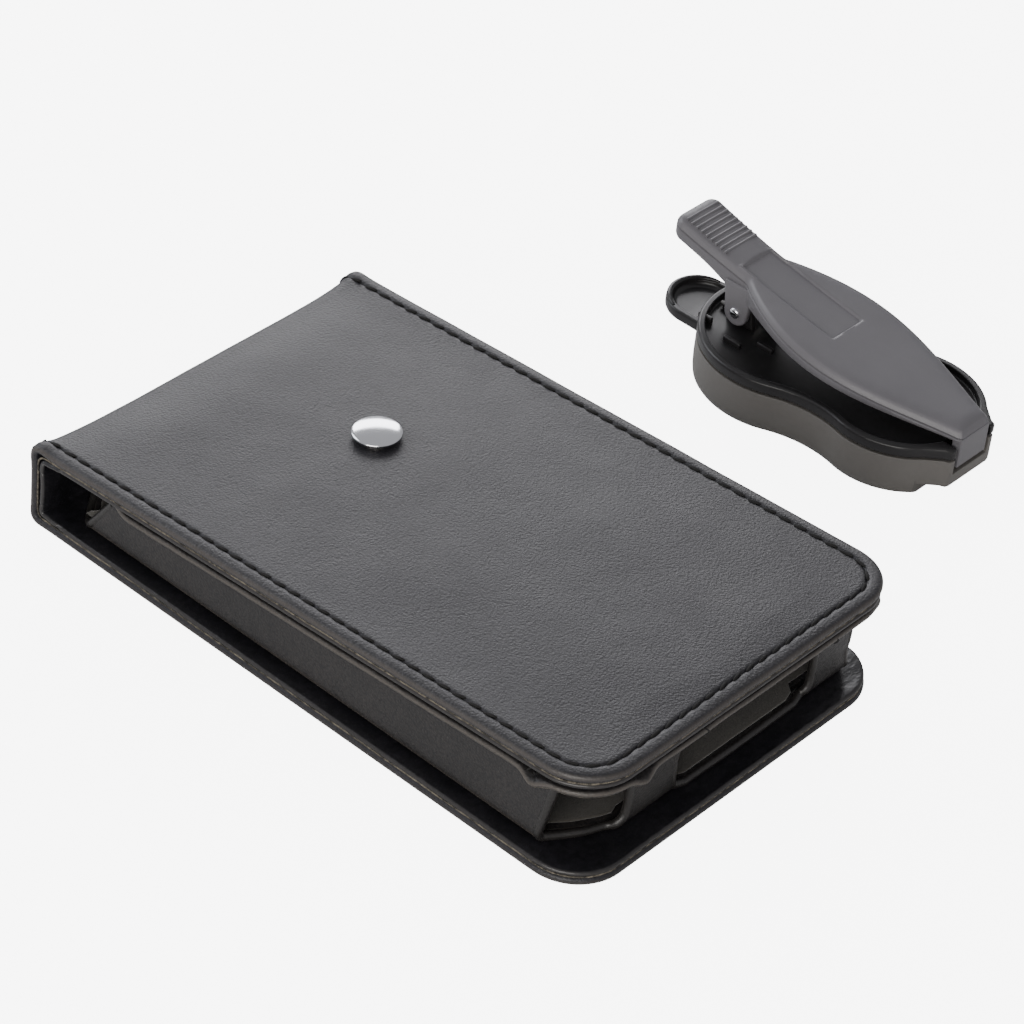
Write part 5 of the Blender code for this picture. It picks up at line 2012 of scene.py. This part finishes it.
@dataclass
class BeltClip:
    """Sprung belt clip: shell, plate with its rim, lever arm, thumb latch and pivot pin."""

    finishes: Finishes
    repeater: Repeater
    bulge_x: float = -2.0
    bulge_radius: float = 16.3
    nose_bulge_x: float = 21.5
    nose_bulge_radius: float = 13.9
    waist_radius: float = 20.0
    nose_x: float = 36.2
    nose_root_half: float = 8.7
    nose_tip_half: float = 6.0
    shell_top: float = 7.3
    plate_low: float = 7.6
    plate_floor: float = 8.4
    rim_top: float = 9.7
    slot: Triple = (3.6, 4.6, 4.4)
    tail_x: float = -26.4
    tail_half: float = 5.5
    leaf_half: float = 10.0
    nose_half: float = 3.9
    tail_top: float = 23.4
    nose_top: float = 12.6
    thickness: tuple[float, float] = (3.7, 2.4)
    sag: float = 1.3
    skirt: float = 1.5
    nose_round: float = 0.7
    pivot: tuple[float, float] = (-10.7, 11.4)
    label: Triple = (-12.0, 8.6, 4.2)
    past_nose: float = 38.5
    socket_radius: float = 5.2
    ear_radius: float = 2.4
    pin_half: float = 6.1
    pin_radius: float = 1.0
    tab_half: float = 6.4
    tab_reach: float = 9.6
    latch_low: float = 4.1
    latch_high: float = 6.1

    def __post_init__(self) -> None:
        """Read the clip's axis from the frame."""
        low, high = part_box("clip_base")
        self.axis_y = (low.y + high.y) / 2 / MM

    def placed(self, shape: Shape) -> Shape:
        """Move a shape drawn on the clip's own axis to its place."""
        return shape.moved(lambda p: p + np.array([0.0, self.axis_y, 0.0]))

    # outlines

    def _waist(self) -> tuple[float, float, float, float]:
        """Centre and end angles of the hollow curve between the bulges."""
        near = self.bulge_radius + self.waist_radius
        far = self.nose_bulge_radius + self.waist_radius
        span = self.nose_bulge_x - self.bulge_x
        along = (near ** 2 - far ** 2 + span ** 2) / (2 * span)
        across = math.sqrt(near ** 2 - along ** 2)
        return (self.bulge_x + along, across, math.degrees(math.atan2(across, along)),
                math.degrees(math.atan2(across, along - span)))

    def outline(self, wall: float, nose: bool) -> Array:
        """Plan of the clip's base.

        Args:
            wall: How far inside the outer face.
            nose: Whether the nose block is part of it.

        Returns:
            The outline, anticlockwise.
        """
        x, across, start, end = self._waist()
        root = math.degrees(math.asin(self.nose_root_half / self.nose_bulge_radius)) if nose else 0
        upper = [circle_points(self.bulge_x, 0.0, self.bulge_radius - wall, 180, start, 44),
                 circle_points(x, across, self.waist_radius + wall, start + 180, end + 180,
                               20)[1:-1],
                 circle_points(self.nose_bulge_x, 0.0, self.nose_bulge_radius - wall, end, root,
                               26)]
        if nose:
            upper.append(np.array([(self.nose_x - 1.2, self.nose_tip_half + 0.35),
                                   (self.nose_x - 0.25, self.nose_tip_half - 0.1),
                                   (self.nose_x, self.nose_tip_half - 0.9)]))
        upper = np.vstack(upper)
        lower = upper[1:][::-1] * np.array([1.0, -1.0])
        if not nose:
            lower = lower[1:]
        return np.vstack([upper, lower])[::-1]

    def arm_share(self, x: Values) -> Values:
        """Place along the arm, from 0 at the tail to 1 at the nose."""
        return np.clip((x - self.tail_x) / (self.nose_x - self.tail_x), 0.0, 1.0)

    def arm_top(self, x: Values) -> Values:
        """Height of the arm's top face."""
        share = self.arm_share(x)
        return (self.tail_top + (self.nose_top - self.tail_top) * share
                - self.sag * np.sin(math.pi * share ** 0.8))

    def arm_belly(self, x: Values) -> Values:
        """Height of the arm's underside between its side walls."""
        thin = (self.thickness[0] - self.thickness[1]) * self.arm_share(x) ** 2
        return self.arm_top(x) - self.thickness[0] + thin + 0.7

    def arm_under(self, x: Values) -> Values:
        """Height of the side walls' lower edge, deepest round the pivot."""
        skirt = self.skirt * np.exp(-((x - self.pivot[0]) / 5.5) ** 2)
        return self.arm_belly(x) - 0.7 - skirt

    def arm_half(self, x: Values) -> Values:
        """Half width of the arm."""
        share = self.arm_share(x)
        swell = np.clip((share - 0.27) / 0.73, 0.0, 1.0)
        base = self.tail_half + (self.nose_half - self.tail_half) * share
        return base + (self.leaf_half - self.nose_half) * np.sin(math.pi * swell ** 0.8) ** 1.15

    def arm_outline(self) -> Array:
        """Plan of the arm with its rounded tail, anticlockwise."""
        round_tail, round_nose = 2.4, self.nose_round
        stations = np.linspace(self.tail_x + round_tail, self.nose_x - round_nose, 90)
        near = np.column_stack([stations, -self.arm_half(stations)])
        tail = circle_points(self.tail_x + round_tail, -(self.tail_half - round_tail), round_tail,
                             180, 270, 12)[:-1]
        nose_half = float(self.arm_half(self.nose_x))
        nose = circle_points(self.nose_x - round_nose, -(nose_half - round_nose), round_nose,
                             270, 360, 6)[1:]
        half = np.vstack([tail, near, nose])
        return np.vstack([half, half[::-1] * np.array([1.0, -1.0])])

    def arm_ring(self, loop: Array, inset: float) -> Array:
        """Arm's outline moved inwards, its nose corners drawn to a point where they would fold.

        Args:
            loop: The arm's outline.
            inset: How far it moves.

        Returns:
            As many points as the outline has.
        """
        at = loop - outline_normals(loop) * inset
        if inset < self.nose_round:
            return at
        end = self.nose_x - inset
        slope = (self.arm_half(end) - self.arm_half(end - 0.5)) / 0.5
        limit = self.arm_half(end) - inset * math.hypot(1.0, slope)
        corner = (loop[:, 0] > self.nose_x - self.nose_round - 1e-6) & (
            np.abs(loop[:, 1]) > self.arm_half(self.nose_x) - self.nose_round - 1e-6)
        corner |= (at[:, 0] > end - 1e-6) & (np.abs(at[:, 1]) > limit)
        at[corner] = np.column_stack([np.full(corner.sum(), end),
                                      limit * np.sign(loop[corner, 1])])
        return at

    # pieces

    def shell(self) -> None:
        """Shell under the plate, with the stud's socket and the latch's mouth."""
        body = stack(self.outline(0.0, True), [(0.9, 0.0), (0.45, 0.18), (0.2, 0.55), (0.08, 1.4),
                                               (0.0, 3.2), (0.0, self.shell_top)])
        item = self.placed(body).made("clip_shell", self.finishes.shell, 35)
        reach, half, floor = self.slot
        mouth = self.tab_half + 0.3
        socket = stack(circle_points(self.bulge_x, 0.0, self.socket_radius)[:-1],
                       [(0.0, -1.0), (0.0, 3.0)])
        cutters = [stack(self.outline(1.7, False), [(0.0, 1.5), (0.0, 9.0)]),
                   block((32.0, -17.0, -1.0), (self.past_nose, 17.0, 2.2)),
                   block((self.nose_x - reach, -half, floor), (self.past_nose, half, 12.0)),
                   socket,
                   block((-21.0, -mouth, self.latch_low - 0.3), (self.bulge_x, mouth,
                                                                  self.latch_high + 0.3))]
        Bench.carved(item, [self.placed(c) for c in cutters])
        Bench.eased(item, 0.28, 2, 50)
        stop = Bench.eased(self.placed(block((18.0, -3.0, 1.4), (19.4, 3.0, 7.2))).made(
            "spring_stop", self.finishes.shell), 0.2, 2)
        settle(stop, "clip_body", Slot.PLASTIC)
        settle(item, "clip_body", Slot.PLASTIC, "clip_housing")

    def plate(self) -> None:
        """Plate with its raised rim, pivot ears, ribs and the notched lip."""
        rim = stack(self.outline(0.0, True),
                    [(0.35, self.plate_low), (0.1, self.plate_low + 0.12),
                     (0.0, self.plate_low + 0.4), (0.0, self.rim_top - 0.55),
                     (0.08, self.rim_top - 0.25), (0.28, self.rim_top - 0.06),
                     (0.5, self.rim_top)])
        item = self.placed(rim).made("clip_plate", self.finishes.pan, 35)
        reach, half, floor = self.slot
        cutters = [stack(self.outline(1.3, False), [(0.3, self.plate_floor),
                                                    (0.0, self.plate_floor + 0.3), (0.0, 11.0)]),
                   block((self.nose_x - reach, -half, floor), (self.past_nose, half, 12.0))]
        Bench.carved(item, [self.placed(c) for c in cutters])
        Bench.eased(item, 0.22, 2, 55)
        settle(item, "clip_body", Slot.PLASTIC, "clip_base")
        x, z = self.pivot
        extras = []
        for side in (-1.0, 1.0):
            profile = np.vstack([circle_points(x, z, self.ear_radius, 0, 180, 20),
                                 [(x - 3.0, self.plate_floor - 0.1),
                                  (x + 3.0, self.plate_floor - 0.1)]])
            ear = upright(stack(profile, [(0.25, -0.6), (0.0, -0.35), (0.0, 0.35), (0.25, 0.6)]),
                          side * 3.4)
            extras.append(ear)
        for low, high in (((-16.6, -7.8, 8.3), (-13.8, -7.0, 9.5)),
                          ((-15.8, -2.2, 8.3), (-13.2, 2.2, 9.2)),
                          ((-9.6, -9.6, 8.3), (-6.0, -8.8, 9.3)),
                          ((-4.8, -6.4, 8.3), (-1.6, -5.6, 9.1)),
                          ((-16.6, 7.0, 8.3), (-13.8, 7.8, 9.5))):
            extras.append(block(low, high))
        ribs = Bench.eased(self.placed(Shape.merged(extras)).made(
            "plate_ears_and_ribs", self.finishes.pan), 0.18, 2)
        settle(ribs, "clip_body", Slot.PLASTIC)

    def arm(self) -> None:
        """Lever arm: ridged tail, blank label recess, bevelled leaf and hooked lip."""
        loop = resampled(self.arm_outline(), 0.9)
        x0, x1, half = self.label
        field = 0.9

        def rounded(inset: float) -> Array:
            """Outline of the label recess, kept inside the arm's edge."""
            low, high, side, radius = x0 + inset, x1 - inset, half - inset, 0.5
            parts = [circle_points(high - radius, -side + radius, radius, -90, 0, 4),
                     circle_points(high - radius, side - radius, radius, 0, 90, 4),
                     circle_points(low + radius, side - radius, radius, 90, 180, 4),
                     circle_points(low + radius, -side + radius, radius, 180, 270, 4)]
            line = resampled(np.vstack(parts), 0.9)
            room = np.minimum(self.arm_half(line[:, 0] - field), self.arm_half(line[:, 0] + field))
            room = np.minimum(room, self.arm_half(line[:, 0])) - field - 0.3 - 0.7 * inset
            line[:, 1] = np.clip(line[:, 1], -room, room)
            return line

        ridges = [rounded(-0.35), rounded(0.0), rounded(0.12), rounded(0.4)]
        flat, top_faces = plate([self.arm_ring(loop, field)], 1.1, ridges)
        sunk = inside(flat, [rounded(0.06)]).astype(float)
        deep = inside(flat, [rounded(0.25)]).astype(float)
        crown = 0.28 * np.clip(np.abs(flat[:, 1]) / self.arm_half(flat[:, 0]), 0, 1) ** 2
        top = np.column_stack([flat, self.arm_top(flat[:, 0]) - crown * (1 - sunk)
                               - 0.1 * sunk - 0.32 * deep])
        shapes = [(field, "top", -0.38), (0.62, "top", -0.58),
                  (0.3, "top", -0.98), (0.1, "top", -1.42), (0.06, "top", -1.5),
                  (0.34, "top", -1.6), (0.38, "top", -1.78), (0.08, "top", -1.88),
                  (0.0, "top", -1.98), (0.0, "low", 0.3), (0.1, "low", 0.1), (0.32, "low", 0.0),
                  (1.0, "low", 0.0), (1.15, "low", 0.12), (1.2, "low", 0.6), (1.4, "belly", 0.0)]
        bases = {"top": self.arm_top, "low": self.arm_under, "belly": self.arm_belly}
        points, ring_highlight_and_wear = [], []
        for inset, base, height in shapes:
            at = self.arm_ring(loop, inset)
            base_z = bases[base](at[:, 0])
            points.append(level(at, base_z + height))
            # The bevel band round the top edge is marked paler: a painted highlight.
            ring_highlight_and_wear.append(np.full(len(at), 0.8 if base == "top" and -0.7 < height < -0.5 else 0.0))
        count, faces = len(loop), []
        for a in range(0, (len(points) - 1) * count, count):
            b = a + count
            faces += [(a + (k + 1) % count, a + k, b + k, b + (k + 1) % count)
                      for k in range(count)]
        sides = Shape(np.vstack(points), faces, np.concatenate(ring_highlight_and_wear))
        rim = self._zip(top, flat, self.arm_ring(loop, field), sides.points[:count])
        under_loop = self.arm_ring(loop, 1.4)
        low_flat, low_faces = plate([under_loop], 1.6)
        low = level(low_flat, self.arm_belly(low_flat[:, 0]))
        self._zip(low, low_flat, under_loop, sides.points[-count:])
        lid = Shape(rim, top_faces, np.zeros(len(rim)))
        floor = Shape(low, [f[::-1] for f in low_faces], np.zeros(len(low)))
        whole = self.placed(Shape.merged([lid, sides, floor])).made("clip_lever",
            self.finishes.gloss, 38)
        self._welded(whole)
        x, z = self.pivot
        extras = []
        foot = (float(self.arm_under(x)) + float(self.arm_top(x))) / 2
        for side in (-1.0, 1.0):
            profile = np.vstack([circle_points(x, z, self.ear_radius, 180, 360, 20),
                                 [(x + 3.2, foot), (x - 3.0, foot)]])
            extras.append(upright(stack(profile, [(0.2, -0.6), (0.0, -0.4), (0.0, 0.4),
                                                  (0.2, 0.6)]), side * 5.0))
        lip = block((self.nose_x - 1.8, -self.nose_half + 0.1, self.slot[2] + 0.9),
                    (self.nose_x - 0.02, self.nose_half - 0.1,
                     float(self.arm_under(self.nose_x)) + 0.8))
        extras.append(lip)
        hook = Bench.eased(self.placed(Shape.merged(extras)).made(
            "lever_ears_and_lip", self.finishes.gloss), 0.25, 3)
        settle(whole, "arm", Slot.PLASTIC, "clip_arm")
        settle(hook, "arm", Slot.PLASTIC)
        self.thumb_ribs()

    @staticmethod
    def _zip(points: Array, flat: Array, loop: Array,
             target: Array) -> Array:
        """Give a cap's border points the heights of the ring they meet.

        Args:
            points: The cap's points, changed in place.
            flat: The same in plan.
            loop: The ring in plan.
            target: The ring.

        Returns:
            The cap's points.
        """
        closed = np.vstack([loop, loop[:1]])
        heights = np.append(target[:, 2], target[0, 2])
        for k, place in enumerate(flat):
            start, span = closed[:-1], closed[1:] - closed[:-1]
            share = np.clip(((place - start) * span).sum(1)
                            / np.maximum((span * span).sum(1), 1e-12), 0.0, 1.0)
            gap = np.linalg.norm(start + share[:, None] * span - place, axis=1)
            best = int(gap.argmin())
            if gap[best] < 1e-4:
                points[k, 2] = heights[best] + share[best] * (heights[best + 1] - heights[best])
        return points

    @staticmethod
    def _welded(item: Piece) -> None:
        """Merge the points where a piece's caps meet its sides."""
        work = bmesh.new()
        work.from_mesh(item.data)
        bmesh.ops.remove_doubles(work, verts=work.verts, dist=0.00002)
        bmesh.ops.recalc_face_normals(work, faces=work.faces)
        work.to_mesh(item.data)
        work.free()
        item.data.shade_smooth()
        item.data.set_sharp_from_angle(angle=math.radians(38))

    def thumb_ribs(self) -> None:
        """Ridges across the tail for the thumb."""
        at = self.tail_x + 2.2 + np.arange(9) * 1.08
        line = np.column_stack([at, at * 0.0 + self.axis_y, self.arm_top(at) - 0.16])
        up = np.tile([0.0, 0.0, 1.0], (len(at), 1))
        ribs = self.repeater.repeated("lever_thumb_ribs", [line], [up], self.repeater.ribs,
                                      {"Width": 8.2 * MM, "Thickness": 0.56 * MM,
                                       "Material": self.finishes.gloss})
        settle(ribs, "arm", Slot.PLASTIC)

    def latch(self) -> None:
        """Thumb latch: dished tab outside, keyhole plate inside."""
        tip = self.bulge_x - self.bulge_radius - self.tab_reach
        radius, low, high = self.tab_half, self.latch_low, self.latch_high
        loop = np.vstack([circle_points(tip + radius, 0.0, radius, 90, 270, 40),
                          [(8.0, -radius), (8.0, radius)]])
        body = stack(loop, [(0.5, low), (0.15, low + 0.15), (0.0, low + 0.5), (0.0, high - 0.4),
                            (0.12, high - 0.12), (0.4, high)])
        item = self.placed(body).made("thumb_latch", self.finishes.pan, 35)
        key = np.vstack([circle_points(self.bulge_x - 5.0, 0.0, 4.8, 28, 332, 40),
                         [(self.bulge_x + 2.3, -2.3), (self.bulge_x + 2.3, 2.3)]])
        edge = -self.bulge_radius + self.bulge_x - 0.6
        dish = np.vstack([circle_points(tip + radius, 0.0, radius - 1.25, 90, 270, 30),
                          [(edge, -radius + 1.25), (edge, radius - 1.25)]])
        Bench.carved(item, [self.placed(stack(key, [(0.0, low - 1), (0.0, high + 1)])),
                            self.placed(stack(dish, [(0.9, high - 1.1), (0.3, high - 0.9),
                                                     (0.0, high - 0.5), (0.0, high + 1.0)]))])
        Bench.eased(item, 0.2, 2, 50)
        crest = circle_points(tip + radius, 0.0, radius - 0.62, 100, 250, 60)
        path = level(crest, high - 0.02)
        size = 0.62 * np.sin(np.linspace(0.08, math.pi - 0.08, len(crest))) ** 0.4
        rim = self.placed(Shape.tube(path, size, 12, flat=0.9)).made("latch_rim",
                                                                     self.finishes.pan)
        settle(item, "latch", Slot.PLASTIC, "release_latch")
        settle(rim, "latch", Slot.PLASTIC)

    def pin(self) -> None:
        """Pivot pin with domed ends."""
        x, z = self.pivot
        half, radius = self.pin_half, self.pin_radius
        profile = [(0.0, -half)]
        turns = np.linspace(0.2, math.pi / 2, 7)
        for end, order in ((-1.0, turns), (1.0, turns[::-1])):
            profile += [(radius * math.sin(t), end * (half - 0.45 * (1 - math.cos(t))))
                        for t in order]
        profile.append((0.0, half))
        pin = upright(Shape.turned(profile, 32)).moved(
            lambda p: p + np.array([x, self.axis_y, z])).made("pivot_rivet", self.finishes.chrome)
        settle(pin, "clip_body", Slot.STEEL, "pivot_pin")

    def build(self) -> None:
        """Make the clip."""
        self.shell()
        self.plate()
        self.arm()
        self.latch()
        self.pin()
        LOG.info("belt clip: shell, plate, lever, latch and pin")


# studio


@dataclass(frozen=True)
class Studio:
    """Pale floor, soft light and the camera."""

    target: Triple = (0.00035, 0.01168, 0.0116)
    distance: float = 0.6066
    azimuth: float = 38.28
    elevation: float = 38.66
    roll: float = 6.52
    lens: float = 137.1
    floor_glow: float = 7.0
    sky_strength: float = 0.42

    def camera(self) -> None:
        """Set up the camera."""
        a, e = math.radians(self.azimuth), math.radians(self.elevation)
        back = Vector((math.sin(a) * math.cos(e), -math.cos(a) * math.cos(e), math.sin(e)))
        data = bpy.data.cameras.new("camera")
        data.lens = self.lens
        data.sensor_width = 36.0
        data.clip_start, data.clip_end = 0.01, 20.0
        item = linked("camera", data)
        turn = (-back).to_track_quat("-Z", "Y").to_matrix() @ Matrix.Rotation(
            math.radians(self.roll), 3, "Z")
        item.matrix_world = Matrix.Translation(Vector(self.target) + back * self.distance) @ (
            turn.to_4x4())
        bpy.context.scene.camera = item

    @staticmethod
    def panel_light(name: str, place: Triple, size: tuple[float, float],
                    power: float, colour: Triple) -> None:
        """Hang a soft box that faces the case.

        Args:
            name: The light's name.
            place: Its middle, in metres.
            size: Its width and height, in metres.
            power: Its power in watts.
            colour: Its colour.
        """
        data = bpy.data.lights.new(name, "AREA")
        data.shape = "RECTANGLE"
        data.size, data.size_y = size
        data.energy = power
        data.color = colour
        item = linked(name, data)
        aim = Vector((0.0, 0.015, 0.0)) - Vector(place)
        item.matrix_world = Matrix.Translation(place) @ aim.to_track_quat("-Z", "Y").to_matrix(
        ).to_4x4()

    def floor(self) -> None:
        """Lay the floor."""
        mesh, reach = bpy.data.meshes.new("floor"), 3.0
        corners = [(x * reach, y * reach, 0.0) for x, y in ((-1, -1), (1, -1), (1, 1), (-1, 1))]
        mesh.from_pydata(corners, [], [(0, 1, 2, 3)])
        shading = Shading("pale_floor")
        shading.set("Base Color", (0.86, 0.86, 0.86))
        shading.set("Roughness", 0.85)
        shading.set("Specular IOR Level", 0.2)
        seen = shading.out("ShaderNodeLightPath", output="Is Camera Ray")
        glow = shading.blend(seen, (0.0, 0.0, 0.0), (1.0, 1.0, 1.0))
        shading.set("Emission Color", glow)
        shading.set("Emission Strength", self.floor_glow)
        mesh.materials.append(shading.material)
        linked("floor", mesh)

    def sky(self) -> None:
        """Fill the surroundings with an even pale light."""
        world = bpy.data.worlds.new("studio")
        bpy.context.scene.world = world
        world.use_nodes = True
        background = world.node_tree.nodes["Background"]
        background.inputs["Color"].default_value = (0.98, 0.975, 1.0, 1.0)
        background.inputs["Strength"].default_value = self.sky_strength

    def build(self) -> None:
        """Set the studio up."""
        self.camera()
        self.floor()
        self.sky()
        self.panel_light("back_box", (-0.75, 0.7, 0.42), (0.7, 0.4), 5.6, (0.98, 0.97, 1.0))
        self.panel_light("side_box", (-0.8, -0.2, 0.45), (0.5, 0.6), 3.0, (0.92, 0.95, 1.0))
        self.panel_light("front_fill", (0.35, -0.85, 0.35), (0.8, 0.5), 7.5, (1.0, 0.97, 0.93))
        LOG.info("studio set")


def dress_hidden(finishes: Finishes) -> None:
    """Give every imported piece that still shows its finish.

    Args:
        finishes: The finishes.
    """
    dressed = dict.fromkeys(("flap_board", "back_board"), finishes.card)
    metal = ("stud_collar", "stud_washer", "torsion_spring", "latch_spring")
    for name, finish in (dressed | dict.fromkeys(metal, finishes.steel)).items():
        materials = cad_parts[name].data.materials
        materials.clear()
        materials.append(finish)


def main() -> None:
    """Build the case, the clip and the studio."""
    logging.basicConfig(level=logging.INFO, format="%(name)s: %(message)s")
    Studio().build()
    finishes = Finishes()
    repeater = Repeater()
    sizes = CaseSizes.from_frame()
    wrap = WrappedCase(sizes, finishes, repeater)
    wrap.build()
    Pocket(sizes, finishes, repeater, wrap).build()
    Stud(sizes, finishes).build()
    BeltClip(finishes, repeater).build()
    dress_hidden(finishes)


if __name__ == "__main__":
    main()
